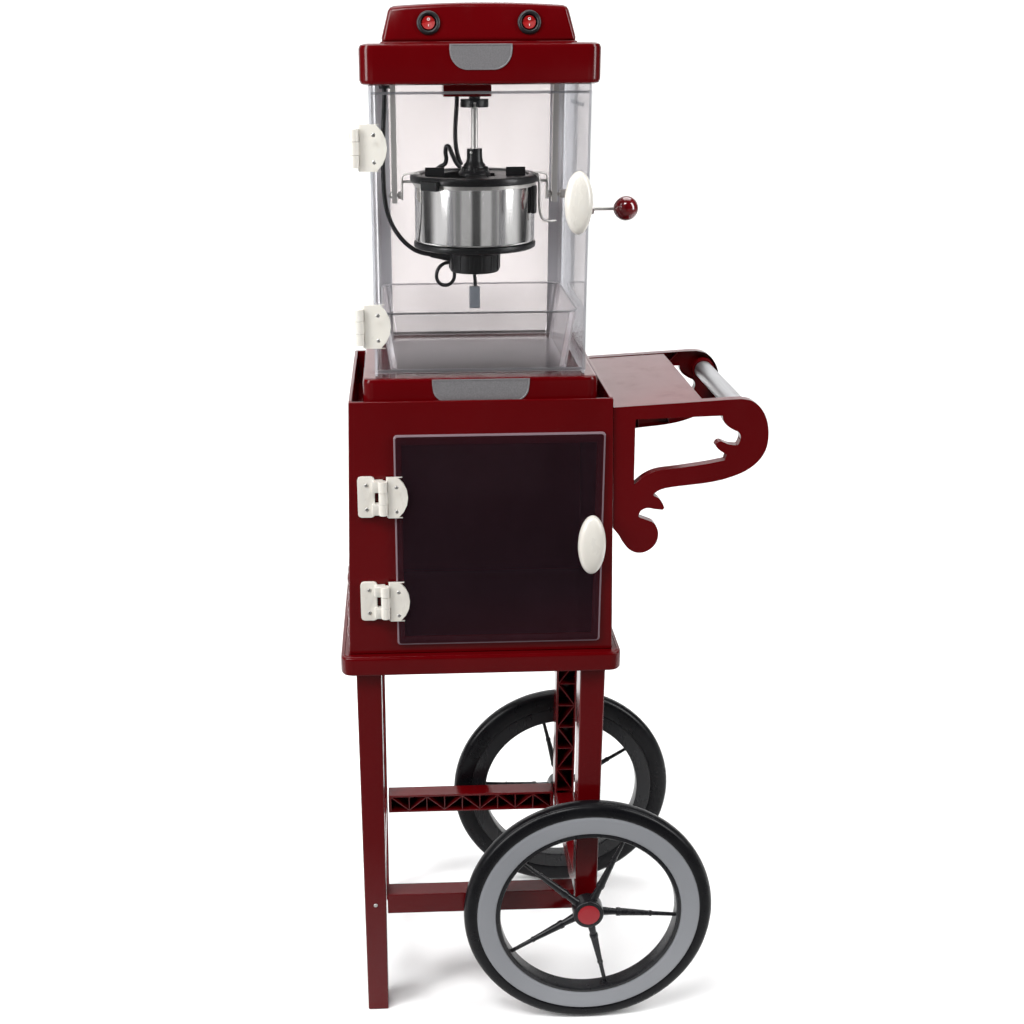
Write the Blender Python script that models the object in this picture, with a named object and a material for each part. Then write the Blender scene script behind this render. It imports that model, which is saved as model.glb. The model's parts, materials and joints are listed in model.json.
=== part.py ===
"""Popcorn maker standing in the top recess of its two-wheel cart.

Metres, +Z up, the front faces -Y.  The origin is on the floor, under the middle of the
whole object.  All places below are given from the middle of the cart, and one empty moves
the finished cart so that the whole object is centred on the origin.
"""
import bmesh
import bpy
from math import atan2, cos, pi, radians, sin
from mathutils import Matrix, Vector

GAP = 0.0003                    # room left between two pieces that touch
CART_X = -0.0778                # middle of the cart, seen from the middle of the object

# Cart frame
LEG_X = 0.130                   # leg centre lines
LEG_Y = 0.1159
LEG_TOP_SIZE = 0.029
LEG_FOOT_SIZE = 0.0255
LEG_WALL = 0.003
SHORT_LEG_FOOT_Z = 0.133        # the wheel-side legs end just below the axle
BRACE_Z = (0.142, 0.1688)
BRACE_THICK = 0.024
DECK_Z = (0.4733, 0.4956)
DECK_HALF = (0.1617, 0.1425)

# Wheels
WHEEL_R = 0.1522
WHEEL_Y = 0.14725               # middle of a wheel
TYRE_HALF_WIDTH = 0.01115
TYRE_INNER_R = 0.1280
RIM_INNER_R = 0.1076
HUB_R = 0.0185
AXLE_R = 0.005
SPOKES = 5
WHEEL_SEGMENTS = 36
SPOKE_START = {"front": -5.0, "back": 32.0}

# Cabinet
CABINET_Z = (0.4959, 0.7940)
CABINET_BOTTOM_HALF_X = 0.1515
CABINET_TOP_HALF_X = 0.1437
CABINET_HALF_Y = 0.1304
CABINET_WALL = 0.004
RECESS_FLOOR_Z = 0.7545
DOOR_X = (-0.096, 0.136)
DOOR_Z = (0.508, 0.757)
DOOR_THICK = 0.003
DOOR_LAP = 0.009                # how far the door covers the front around its opening
HINGE_AXIS_X = -0.1085
HINGE_AXIS_Y = -0.1388
HINGE_Z = (0.5630, 0.6870)

# Side shelf
BRACKET_Y = (0.1155, 0.1275)
BAR_PLACE = (0.2945, 0.7670)
BAR_R = 0.011

# Popcorn machine
BASE_HALF = (0.1280, 0.1225)
BASE_TOP_Z = 0.8170
CASE_HALF_X = 0.1140
CASE_Y = (-0.1100, 0.1120)
CASE_Z = (0.8175, 1.1185)
CASE_WALL = 0.0025
CASE_DOOR_Y = (-0.1165, -0.1135)
CASE_DOOR_Z = (0.8220, 1.1130)
CASE_HINGE_AXIS = (-0.1295, -0.1215)
CASE_HINGE_Z = (0.8735, 1.0580)
CANOPY_HALF = (0.1230, 0.1210)
CANOPY_Z = (1.1190, 1.1590)
HOOD_BOTTOM_Z = 1.1595
HOOD_TOP_Z = 1.1950
HOOD_ARCH = 0.0032
HOOD_BOTTOM = (0.1008, -0.0900, 0.1000)    # half width, front, back
HOOD_TOP = (0.0915, -0.0815, 0.0920)
SWITCH_X = 0.0515
SWITCH_Z = 1.1785
SWITCH_R = 0.0078

# Kettle
PIVOT_Z = 0.9980
ARM_X = 0.0895
POT_R = 0.0674
POT_Z = (0.9475, 1.0155)
POT_WALL = 0.0014
LID_Z = (1.0160, 1.0215)
LID_R = 0.0722
FLAP_HINGE_X = 0.0130
SHAFT_R = 0.00365
KETTLE_SEGMENTS = 28
COUPLING_Z = (1.0920, 1.1035)
HOUSING_R = 0.0300
HOUSING_BOTTOM_Z = 0.9125

FINISHES = {                    # colour, roughness, metallic, alpha
    "red_plastic": ((0.17, 0.006, 0.012), 0.22, 0.0, 1.0),
    "black_plastic": ((0.012, 0.012, 0.013), 0.45, 0.0, 1.0),
    "rubber": ((0.010, 0.010, 0.011), 0.70, 0.0, 1.0),
    "ivory_plastic": ((0.66, 0.63, 0.58), 0.35, 0.0, 1.0),
    "clear_plastic": ((0.90, 0.90, 0.92), 0.05, 0.0, 0.25),
    "smoked_plastic": ((0.05, 0.03, 0.04), 0.08, 0.0, 0.55),
    "white_panel": ((0.75, 0.73, 0.72), 0.40, 0.0, 1.0),
    "steel": ((0.62, 0.61, 0.59), 0.25, 1.0, 1.0),
    "satin_metal": ((0.52, 0.52, 0.53), 0.38, 1.0, 1.0),
    "grey_plastic": ((0.25, 0.27, 0.30), 0.45, 0.0, 1.0),
}

for old in list(bpy.data.objects):
    bpy.data.objects.remove(old, do_unlink=True)

cart_frame = bpy.data.objects.new("cart_frame", None)
bpy.context.scene.collection.objects.link(cart_frame)
cart_frame.location = (CART_X, 0.0, 0.0)


# ---------------------------------------------------------------- making solids

def finish_material(name, finish):
    colour, roughness, metallic, alpha = FINISHES[finish]
    material = bpy.data.materials.new(name)
    material.use_nodes = True
    shader = material.node_tree.nodes["Principled BSDF"]
    shader.inputs["Base Color"].default_value = (*colour, 1.0)
    shader.inputs["Roughness"].default_value = roughness
    shader.inputs["Metallic"].default_value = metallic
    shader.inputs["Alpha"].default_value = alpha
    return material


def solid(name, bm, finish="red_plastic", origin=(0.0, 0.0, 0.0)):
    """Turn a bmesh in cart coordinates into an object whose origin is at `origin`."""
    bmesh.ops.recalc_face_normals(bm, faces=bm.faces)
    bmesh.ops.translate(bm, verts=bm.verts, vec=-Vector(origin))
    mesh = bpy.data.meshes.new(name)
    bm.to_mesh(mesh)
    bm.free()
    mesh.shade_smooth()
    mesh.set_sharp_from_angle(angle=radians(35.0))
    piece = bpy.data.objects.new(name, mesh)
    bpy.context.scene.collection.objects.link(piece)
    piece.parent = cart_frame
    piece.location = origin
    mesh.materials.append(finish_material(name + "_finish", finish))
    return piece


def helper(tool):
    """Keep a shape that only cuts or joins out of the finished model."""
    tool.hide_render = True
    tool.display_type = "WIRE"
    return tool


def combine(piece, operation, *tools):
    for tool in tools:
        modifier = piece.modifiers.new(operation.lower() + "_" + tool.name, "BOOLEAN")
        modifier.operation = operation
        modifier.solver = "EXACT"
        modifier.object = helper(tool)
    return piece


def cut(piece, *tools):
    return combine(piece, "DIFFERENCE", *tools)


def fuse(piece, *tools):
    return combine(piece, "UNION", *tools)


def soften(piece, width, segments=2, angle=40.0):
    bevel = piece.modifiers.new("soft_edges", "BEVEL")
    bevel.width = width
    bevel.segments = segments
    bevel.limit_method = "ANGLE"
    bevel.angle_limit = radians(angle)
    return piece


AXES = {
    "x": Matrix(((0, 0, 1), (1, 0, 0), (0, 1, 0))),     # outline (y, z) pushed along x
    "y": Matrix(((1, 0, 0), (0, 0, 1), (0, 1, 0))),     # outline (x, z) pushed along y
    "z": Matrix(((1, 0, 0), (0, 1, 0), (0, 0, 1))),     # outline (x, y) pushed along z
}


def prism(outline, low, high, axis="z", far_outline=None):
    """A solid between an outline at `low` and the same, or another, outline at `high`."""
    bm = bmesh.new()
    turn = AXES[axis]
    far_outline = far_outline or outline
    near = [bm.verts.new(turn @ Vector((a, b, low))) for a, b in outline]
    far = [bm.verts.new(turn @ Vector((a, b, high))) for a, b in far_outline]
    bm.faces.new(near)
    bm.faces.new(far)
    for i in range(len(near)):
        j = (i + 1) % len(near)
        bm.faces.new((near[i], near[j], far[j], far[i]))
    return bm


def rectangle(x_low, x_high, y_low, y_high):
    return [(x_low, y_low), (x_high, y_low), (x_high, y_high), (x_low, y_high)]


def box(x, y, z):
    return prism(rectangle(*x, *y), *z)


def round_rectangle(half_x, half_y, radius, steps=4, centre=(0.0, 0.0)):
    points = []
    for quarter, (sx, sy) in enumerate(((1, 1), (-1, 1), (-1, -1), (1, -1))):
        for step in range(steps + 1):
            angle = (quarter + step / steps) * pi / 2.0
            points.append((centre[0] + sx * (half_x - radius) + radius * cos(angle),
                           centre[1] + sy * (half_y - radius) + radius * sin(angle)))
    return points


def turned(profile, axis="z", centre=(0.0, 0.0, 0.0), segments=24, ring=False):
    """Turn (radius, height) points about an axis.  A ring's profile is a closed loop."""
    bm = bmesh.new()
    turn = {"x": AXES["x"], "y": AXES["y"], "z": AXES["z"]}[axis]
    loops = []
    for radius, height in profile:
        if radius == 0.0:
            loops.append([bm.verts.new(Vector(centre) + turn @ Vector((0, 0, height)))])
            continue
        loops.append([bm.verts.new(Vector(centre) + turn @ Vector(
            (radius * cos(2 * pi * k / segments), radius * sin(2 * pi * k / segments), height)))
            for k in range(segments)])
    pairs = list(zip(loops, loops[1:]))
    if ring:
        pairs.append((loops[-1], loops[0]))
    for a, b in pairs:
        for k in range(segments):
            m = (k + 1) % segments
            corners = [a[k % len(a)], a[m % len(a)], b[m % len(b)], b[k % len(b)]]
            bm.faces.new(list(dict.fromkeys(corners)))
    return bm


def rod(radius, start, end, axis="z", centre=(0.0, 0.0, 0.0), segments=16):
    profile = [(0.0, start), (radius, start), (radius, end), (0.0, end)]
    return turned(profile, axis, centre, segments)


def arc(centre, radius, start, end, steps):
    """Points of an arc in degrees, from start to end."""
    angles = [radians(start + (end - start) * k / steps) for k in range(steps + 1)]
    return [(centre[0] + radius * cos(a), centre[1] + radius * sin(a)) for a in angles]


def smooth_route(points, spacing):
    """Points at an even spacing on a Catmull-Rom curve through the given points."""
    points = [Vector(p) for p in points]
    padded = [2 * points[0] - points[1], *points, 2 * points[-1] - points[-2]]
    dense = []
    for a, b, c, d in zip(padded, padded[1:], padded[2:], padded[3:]):
        for step in range(24):
            t = step / 24.0
            dense.append(0.5 * (2 * b + (c - a) * t + (2 * a - 5 * b + 4 * c - d) * t * t
                                + (3 * b - a - 3 * c + d) * t ** 3))
    dense.append(points[-1])
    length = sum((q - p).length for p, q in zip(dense, dense[1:]))
    count = max(4, round(length / spacing))
    route, walked, target = [dense[0]], 0.0, length / count
    for p, q in zip(dense, dense[1:]):
        step = (q - p).length
        while walked + step >= target - 1e-9 and len(route) < count:
            route.append(p.lerp(q, (target - walked) / step))
            target += length / count
        walked += step
    return route + [dense[-1]]


def cord(name, points, diameter, finish="rubber"):
    """A plain round tube through the points, with closed ends."""
    curve = bpy.data.curves.new(name, "CURVE")
    curve.dimensions = "3D"
    curve.bevel_depth = diameter / 2.0
    curve.bevel_resolution = 2
    curve.use_fill_caps = True
    route = smooth_route(points, 2.2 * diameter)
    spline = curve.splines.new("POLY")
    spline.points.add(len(route) - 1)
    for knot, place in zip(spline.points, route):
        knot.co = (*place, 1.0)
    piece = bpy.data.objects.new(name, curve)
    bpy.context.scene.collection.objects.link(piece)
    piece.parent = cart_frame
    curve.materials.append(finish_material(name + "_finish", finish))
    return piece


# ---------------------------------------------------------------- cart frame

def leg(side, end):
    """An upright channel: the front legs are open at the back, the back legs at the front."""
    sx = 1 if side == "right" else -1
    sy = 1 if end == "back" else -1
    foot = SHORT_LEG_FOOT_Z if side == "right" else 0.0
    top = DECK_Z[0] - GAP
    place = (sx * LEG_X, sy * LEG_Y)
    foot_size = LEG_TOP_SIZE - (LEG_TOP_SIZE - LEG_FOOT_SIZE) * (top - foot) / top

    def outline(size):
        return round_rectangle(size / 2, size / 2, 0.0012, 1, place)

    def channel(size):
        inner = size / 2 - LEG_WALL
        open_side = place[1] - sy * size
        return rectangle(place[0] - inner, place[0] + inner,
                         *sorted((open_side, place[1] + sy * inner)))

    piece = solid(f"leg_{end}_{side}",
                  prism(outline(foot_size), foot, top, far_outline=outline(LEG_TOP_SIZE)),
                  origin=(*place, foot))
    groove = solid(f"cut_channel_{end}_{side}",
                   prism(channel(foot_size), foot + 0.006, top - 0.006,
                         far_outline=channel(LEG_TOP_SIZE)))
    cut(piece, groove)
    if side == "right":
        bore = solid(f"cut_axle_bore_{end}",
                     rod(AXLE_R + GAP, -0.02, 0.02, "y", (place[0], place[1], WHEEL_R)))
        cut(piece, bore)
    return piece


def cross_brace(end):
    """Front or back rail between a left and a right leg, open on its inner face."""
    sy = 1 if end == "back" else -1
    half = LEG_X - LEG_TOP_SIZE / 2 - GAP
    y = sy * LEG_Y
    low, high = y - BRACE_THICK / 2, y + BRACE_THICK / 2
    piece = solid(f"brace_{end}", box((-half, half), (low, high), BRACE_Z),
                  origin=(0.0, y, BRACE_Z[0]))
    opening = sorted((y - sy * BRACE_THICK, y + sy * (BRACE_THICK / 2 - LEG_WALL)))
    groove = solid(f"cut_brace_{end}",
                   box((-half + 0.004, half - 0.004), opening,
                       (BRACE_Z[0] + LEG_WALL, BRACE_Z[1] - LEG_WALL)))
    return cut(piece, groove)


def side_brace(side):
    """Rail between a front and a back leg, open below, over the axle on the right."""
    x = LEG_X if side == "right" else -LEG_X
    half = LEG_Y - LEG_TOP_SIZE / 2 - GAP
    wall = BRACE_THICK / 2 - LEG_WALL
    piece = solid(f"brace_{side}",
                  box((x - BRACE_THICK / 2, x + BRACE_THICK / 2), (-half, half), BRACE_Z),
                  origin=(x, 0.0, BRACE_Z[0]))
    groove = solid(f"cut_brace_{side}",
                   box((x - wall, x + wall), (-half - 0.01, half + 0.01),
                       (BRACE_Z[0] - 0.01, BRACE_Z[1] - LEG_WALL)))
    return cut(piece, groove)


def deck():
    outline = round_rectangle(*DECK_HALF, 0.014, 4)
    piece = solid("cart_deck", prism(outline, *DECK_Z), origin=(0.0, 0.0, DECK_Z[0]))
    return soften(piece, 0.003, 2)


def axle():
    return solid("axle", rod(AXLE_R, -0.1525, 0.1525, "y", (LEG_X, 0.0, WHEEL_R)), "steel",
                 origin=(LEG_X, 0.0, WHEEL_R))


# ---------------------------------------------------------------- wheels

def wheel(end):
    """Rim, five tapered spokes and a bored hub, moulded in one."""
    sy = 1 if end == "back" else -1
    centre = Vector((LEG_X, sy * WHEEL_Y, WHEEL_R))
    rim_outer = TYRE_INNER_R - GAP
    rim_profile = [(RIM_INNER_R, -0.0085), (rim_outer, -0.0095),
                   (rim_outer, 0.0095), (RIM_INNER_R, 0.0085)]
    piece = solid(f"wheel_{end}", turned(rim_profile, "y", centre, WHEEL_SEGMENTS, ring=True),
                  "black_plastic", origin=centre)
    hub = solid(f"join_hub_{end}",
                turned([(0.0, -0.0102), (HUB_R - 0.002, -0.0102), (HUB_R, -0.008),
                        (HUB_R, 0.008), (HUB_R - 0.002, 0.0102), (0.0, 0.0102)],
                       "y", centre, 20))
    fuse(piece, hub)
    for number in range(SPOKES):
        angle = radians(SPOKE_START[end] + 360.0 * number / SPOKES)
        spoke = turned([(0.0, 0.010), (0.0050, 0.010), (0.0056, 0.040), (0.0036, 0.070),
                        (0.0030, 0.110), (0.0, 0.110)], "x", (0.0, 0.0, 0.0), 6)
        bmesh.ops.rotate(spoke, verts=spoke.verts, cent=(0.0, 0.0, 0.0),
                         matrix=Matrix.Rotation(-angle, 3, "Y"))
        bmesh.ops.translate(spoke, verts=spoke.verts, vec=centre)
        fuse(piece, solid(f"join_spoke_{end}_{number}", spoke))
    # the bore stops short of the outer face, which carries the hub cap
    depth = sorted((-sy * 0.02, sy * 0.0062))
    bore = solid(f"cut_hub_bore_{end}", rod(AXLE_R + 2 * GAP, *depth, "y", centre))
    return cut(piece, bore)


def tyre(end):
    sy = 1 if end == "back" else -1
    centre = (LEG_X, sy * WHEEL_Y, WHEEL_R)
    side = TYRE_HALF_WIDTH
    half = [(TYRE_INNER_R, side - 0.0010), (0.1440, side - 0.0003), (0.1500, side - 0.0038)]
    profile = [(r, -h) for r, h in half] + [(WHEEL_R, 0.0)] + list(reversed(half))
    return solid(f"tyre_{end}", turned(profile, "y", centre, WHEEL_SEGMENTS, ring=True), "rubber",
                 origin=centre)


# ---------------------------------------------------------------- cabinet

def cabinet_half_x(z):
    share = (z - CABINET_Z[0]) / (CABINET_Z[1] - CABINET_Z[0])
    return CABINET_BOTTOM_HALF_X + share * (CABINET_TOP_HALF_X - CABINET_BOTTOM_HALF_X)


def tapered_block(inset, y, z):
    """A block between two heights whose sides follow the cabinet's slope."""
    low, high = cabinet_half_x(z[0]) - inset, cabinet_half_x(z[1]) - inset
    return prism(rectangle(-low, low, *y), *z, far_outline=rectangle(-high, high, *y))


def cabinet():
    front = -CABINET_HALF_Y
    inner = front + CABINET_WALL
    body = solid("cabinet_body", tapered_block(0.0, (inner + GAP, CABINET_HALF_Y), CABINET_Z))
    hollow = solid("cut_cabinet_hollow",
                   tapered_block(CABINET_WALL, (inner - 0.02, CABINET_HALF_Y - CABINET_WALL),
                                 (CABINET_Z[0] - 0.01, CABINET_Z[1] + 0.01)))
    cut(body, hollow)

    panel = solid("cabinet_front", tapered_block(0.0, (front, inner), CABINET_Z))
    opening = solid("cut_front_opening",
                    box((DOOR_X[0] + DOOR_LAP, DOOR_X[1] - DOOR_LAP),
                        (front - 0.01, inner + 0.01),
                        (DOOR_Z[0] + DOOR_LAP, DOOR_Z[1] - DOOR_LAP - 0.004)))
    cut(panel, opening)

    top = tapered_block(CABINET_WALL + GAP, (inner + GAP, CABINET_HALF_Y - CABINET_WALL - GAP),
                        (RECESS_FLOOR_Z - 0.003, RECESS_FLOOR_Z))
    solid("recess_floor", top, origin=(0.0, 0.0, RECESS_FLOOR_Z))


def cabinet_door():
    back = -CABINET_HALF_Y - 0.001
    outline = round_rectangle((DOOR_X[1] - DOOR_X[0]) / 2, (DOOR_Z[1] - DOOR_Z[0]) / 2, 0.004, 2,
                              (sum(DOOR_X) / 2, sum(DOOR_Z) / 2))
    solid("cabinet_door", prism(outline, back - DOOR_THICK, back, "y"), "smoked_plastic",
          origin=(HINGE_AXIS_X, HINGE_AXIS_Y, DOOR_Z[0]))
    knob("cabinet_knob", (0.1235, back - DOOR_THICK - GAP, 0.6275), (0.0155, 0.0345))


def knob(name, place, half):
    """An oval pull: a flat back and a domed face."""
    steps, rings = 16, ((1.00, 0.000), (1.00, 0.0035), (0.94, 0.0075), (0.70, 0.0115),
                        (0.36, 0.0135))
    bm = bmesh.new()
    loops = []
    for scale, depth in rings:
        loops.append([bm.verts.new((place[0] + half[0] * scale * cos(2 * pi * k / steps),
                                    place[1] - depth,
                                    place[2] + half[1] * scale * sin(2 * pi * k / steps)))
                      for k in range(steps)])
    bm.faces.new(loops[0])
    bm.faces.new(loops[-1])
    for a, b in zip(loops, loops[1:]):
        for k in range(steps):
            m = (k + 1) % steps
            bm.faces.new((a[k], a[m], b[m], b[k]))
    return solid(name, bm, "ivory_plastic", origin=place)


LEAF_HALF = 0.0235
KNUCKLE_HALF = 0.0195
KNUCKLE_R = 0.0050
PIN_R = 0.0020


def knuckle(radius, low, high, axis_place):
    return rod(radius, low, high, "z", (axis_place[0], axis_place[1], 0.0), 12)


def moving_leaf(name, axis_place, z, leaf_y, reach):
    """A D-shaped leaf on the door with the middle knuckle."""
    x = axis_place[0]
    outline = [(x + 0.0005, z - LEAF_HALF + 0.002), (x + 0.004, z - LEAF_HALF),
               (x + reach - 0.006, z - LEAF_HALF)]
    outline += arc((x + reach - 0.030, z), 0.030, -50.0, 50.0, 6)
    outline += [(x + reach - 0.006, z + LEAF_HALF), (x + 0.004, z + LEAF_HALF),
                (x + 0.0005, z + LEAF_HALF - 0.002)]
    piece = solid(name, prism(outline, *leaf_y, "y"), "ivory_plastic", (*axis_place, z))
    third = KNUCKLE_HALF / 3
    barrel = solid("join_barrel_" + name,
                   knuckle(KNUCKLE_R, z - third, z + third, axis_place))
    # clearance for the fixed leaf's knuckles, then the bore for its pin
    rooms = [solid(f"cut_room_{end}_" + name,
                   knuckle(KNUCKLE_R + 0.0008, *sorted((z + end * third, z + end * 0.03)),
                           axis_place)) for end in (-1, 1)]
    bore = solid("cut_bore_" + name, knuckle(PIN_R + GAP, z - 0.03, z + 0.03, axis_place))
    fuse(piece, barrel)
    return cut(piece, *rooms, bore)


def fixed_knuckles(name, axis_place, z):
    third = KNUCKLE_HALF / 3
    barrels = [solid(f"join_barrel_{end}_" + name,
                     knuckle(KNUCKLE_R, *sorted((z + end * (third + GAP), z + end * KNUCKLE_HALF)),
                             axis_place)) for end in (-1, 1)]
    pin = solid("join_pin_" + name,
                knuckle(PIN_R, z - KNUCKLE_HALF + 0.001, z + KNUCKLE_HALF - 0.001, axis_place))
    return [*barrels, pin]


def cabinet_hinge(place, z):
    axis_place = (HINGE_AXIS_X, HINGE_AXIS_Y)
    front = -CABINET_HALF_Y - GAP
    door_face = -CABINET_HALF_Y - 0.001 - DOOR_THICK - GAP
    moving_leaf(f"cabinet_door_leaf_{place}", axis_place, z, (door_face - 0.0035, door_face),
                0.0275)
    name = f"cabinet_leaf_{place}"
    outline = round_rectangle(0.0095, LEAF_HALF, 0.004, 2, (HINGE_AXIS_X - 0.0185, z))
    piece = solid(name, prism(outline, front - 0.0040, front, "y"), "ivory_plastic",
                  (*axis_place, z))
    third = KNUCKLE_HALF / 3
    webs = [solid(f"join_web_{end}_" + name,
                  box((HINGE_AXIS_X - 0.012, HINGE_AXIS_X), (HINGE_AXIS_Y - 0.001, front),
                      sorted((z + end * (third + GAP), z + end * KNUCKLE_HALF))))
            for end in (-1, 1)]
    # the webs end at the barrels' middle, clear of the door's edge
    return fuse(piece, *webs, *fixed_knuckles(name, axis_place, z))


# ---------------------------------------------------------------- side shelf

def bracket_outline():
    """Scrolled side bracket, seen from the front, from the top inner corner clockwise."""
    def wall_x(z):
        return cabinet_half_x(z) + 0.0006

    points = [(wall_x(0.7828), 0.7828), (0.2860, 0.7902)]
    points += [(0.2965, 0.7880), (0.3063, 0.7800), (0.3135, 0.7680), (0.3172, 0.7520),
               (0.3163, 0.7350), (0.3098, 0.7210), (0.2965, 0.7090), (0.2760, 0.7000),
               (0.2510, 0.6945), (0.2120, 0.6900), (0.1990, 0.6868), (0.1930, 0.6832)]
    points += [(0.1923, 0.6800), (0.2005, 0.6755), (0.2053, 0.6668), (0.2036, 0.6635),
               (0.1945, 0.6645), (0.1860, 0.6665), (0.1785, 0.6632), (0.1767, 0.6570)]
    points += [(0.1868, 0.6518)]
    points += arc((0.1790, 0.6335), 0.0208, 48.0, -118.0, 9)
    points += [(0.1590, 0.6290), (wall_x(0.6430), 0.6430)]
    return points


def bracket_hole():
    return [(0.1690, 0.7688), (0.2648, 0.7715), (0.2660, 0.7660), (0.2735, 0.7580),
            (0.2840, 0.7520), (0.2862, 0.7450), (0.2842, 0.7380), (0.2744, 0.7385),
            (0.2630, 0.7426), (0.2590, 0.7376), (0.2635, 0.7320), (0.2722, 0.7270),
            (0.2706, 0.7202), (0.2500, 0.7166), (0.2205, 0.7125), (0.1930, 0.7089),
            (0.1815, 0.7032), (0.1700, 0.6935)]


def bracket(end):
    low, high = BRACKET_Y if end == "back" else (-BRACKET_Y[1], -BRACKET_Y[0])
    piece = solid(f"bracket_{end}", prism(bracket_outline(), low, high, "y"))
    hole = solid(f"cut_scroll_{end}", prism(bracket_hole(), low - 0.01, high + 0.01, "y"))
    return cut(piece, hole)


def shelf():
    inner, outer, thick = CABINET_TOP_HALF_X + 0.0014, 0.2445, 0.008
    half = BRACKET_Y[0] - GAP
    rise = (0.7902 - 0.7828) / (0.2860 - CABINET_TOP_HALF_X)
    low = 0.7822
    high = low + rise * (outer - inner)
    outline = [(inner, low - thick), (outer, high - thick), (outer, high), (inner, low)]
    solid("side_shelf", prism(outline, -half, half, "y"), origin=(inner, 0.0, low))
    solid("push_bar", rod(BAR_R, -half, half, "y", (BAR_PLACE[0], 0.0, BAR_PLACE[1]), 20),
          "satin_metal", origin=(BAR_PLACE[0], 0.0, BAR_PLACE[1]))


# ---------------------------------------------------------------- machine body

def machine_base():
    bottom = RECESS_FLOOR_Z + GAP
    outline = round_rectangle(*BASE_HALF, 0.012, 4)
    piece = solid("machine_base", prism(outline, bottom, BASE_TOP_Z), origin=(0, 0, bottom))
    soften(piece, 0.005, 2)
    hollow = solid("cut_base_hollow",
                   prism(round_rectangle(BASE_HALF[0] - 0.004, BASE_HALF[1] - 0.004, 0.009, 3),
                         bottom - 0.01, BASE_TOP_Z - 0.004))
    return cut(piece, hollow)


def canopy():
    """Rounded rim with its top closed, a floor below, and the hood above it."""
    outline = round_rectangle(*CANOPY_HALF, 0.015, 4)
    rim = solid("canopy", prism(outline, *CANOPY_Z), origin=(0, 0, CANOPY_Z[0]))
    soften(rim, 0.005, 2)
    hollow = solid("cut_canopy_hollow",
                   prism(round_rectangle(CANOPY_HALF[0] - 0.0055, CANOPY_HALF[1] - 0.0055,
                                         0.010, 3), CANOPY_Z[0] - 0.01, CANOPY_Z[1] - 0.003))
    way = solid("cut_canopy_way", box((-0.080, 0.080), (-0.070, 0.080),
                                      (CANOPY_Z[1] - 0.01, CANOPY_Z[1] + 0.01)))
    cut(rim, hollow, way)

    floor_z = CANOPY_Z[0] + 0.0005
    plate = solid("canopy_floor",
                  prism(round_rectangle(CANOPY_HALF[0] - 0.006, CANOPY_HALF[1] - 0.006,
                                        0.009, 3), floor_z, floor_z + 0.003),
                  origin=(0, 0, floor_z))
    boss = solid("join_gearbox_boss", box((-0.035, 0.017), (-0.026, 0.026),
                                          (1.1040, floor_z + 0.002)))
    pocket = solid("cut_gearbox_pocket", box((-0.032, 0.014), (-0.023, 0.023),
                                             (1.1070, floor_z + 0.01)))
    shaft_hole = solid("cut_motor_shaft_hole", rod(0.0040, 1.10, 1.12))
    fuse(plate, boss)
    cut(plate, pocket, shaft_hole)


def hood():
    """Sloping top housing whose front and top edges are gently arched."""
    columns = 10

    def section(z_share, x_share):
        half = HOOD_BOTTOM[0] + z_share * (HOOD_TOP[0] - HOOD_BOTTOM[0])
        front = HOOD_BOTTOM[1] + z_share * (HOOD_TOP[1] - HOOD_BOTTOM[1])
        back = HOOD_BOTTOM[2] + z_share * (HOOD_TOP[2] - HOOD_BOTTOM[2])
        z = HOOD_BOTTOM_Z + z_share * (HOOD_TOP_Z - HOOD_BOTTOM_Z)
        if z_share == 1.0:
            z += HOOD_ARCH * (1.0 - x_share ** 2)
        return [Vector((x_share * half, y, z)) for y in (front, back)]

    bm = bmesh.new()
    strips = []
    for column in range(columns + 1):
        share = 2.0 * column / columns - 1.0
        front_low, back_low = section(0.0, share)
        front_high, back_high = section(1.0, share)
        strips.append([bm.verts.new(v) for v in (front_low, front_high, back_high, back_low)])
    for a, b in zip(strips, strips[1:]):
        for k in range(4):
            m = (k + 1) % 4
            bm.faces.new((a[k], a[m], b[m], b[k]))
    bm.faces.new(strips[0])
    bm.faces.new(strips[-1])
    piece = soften(solid("hood", bm, origin=(0, 0, HOOD_BOTTOM_Z)), 0.0050, 2, 30.0)
    hollow = prism(rectangle(-0.0955, 0.0955, -0.0760, 0.0950), HOOD_BOTTOM_Z - 0.01, 1.1910,
                   far_outline=rectangle(-0.0860, 0.0860, -0.0690, 0.0870))
    cut(piece, solid("cut_hood_hollow", hollow))
    for side in ("left", "right"):
        pocket = rod(SWITCH_R + 0.0006, -0.006, 0.012, "y", (0.0, 0.0, 0.0), 24)
        cut(piece, solid("cut_switch_" + side, place_on_hood(pocket, side)))
        rocker(side)
    return piece


HOOD_LEAN = atan2(HOOD_TOP[1] - HOOD_BOTTOM[1], HOOD_TOP_Z - HOOD_BOTTOM_Z)


def switch_place(side):
    share = (SWITCH_Z - HOOD_BOTTOM_Z) / (HOOD_TOP_Z - HOOD_BOTTOM_Z)
    y = HOOD_BOTTOM[1] + share * (HOOD_TOP[1] - HOOD_BOTTOM[1])
    return Vector((SWITCH_X if side == "right" else -SWITCH_X, y, SWITCH_Z))


def place_on_hood(bm, side):
    """Lean a shape made about the origin into the hood's front face."""
    bmesh.ops.rotate(bm, verts=bm.verts, cent=(0, 0, 0),
                     matrix=Matrix.Rotation(-HOOD_LEAN, 3, "X"))
    bmesh.ops.translate(bm, verts=bm.verts, vec=switch_place(side))
    return bm


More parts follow.
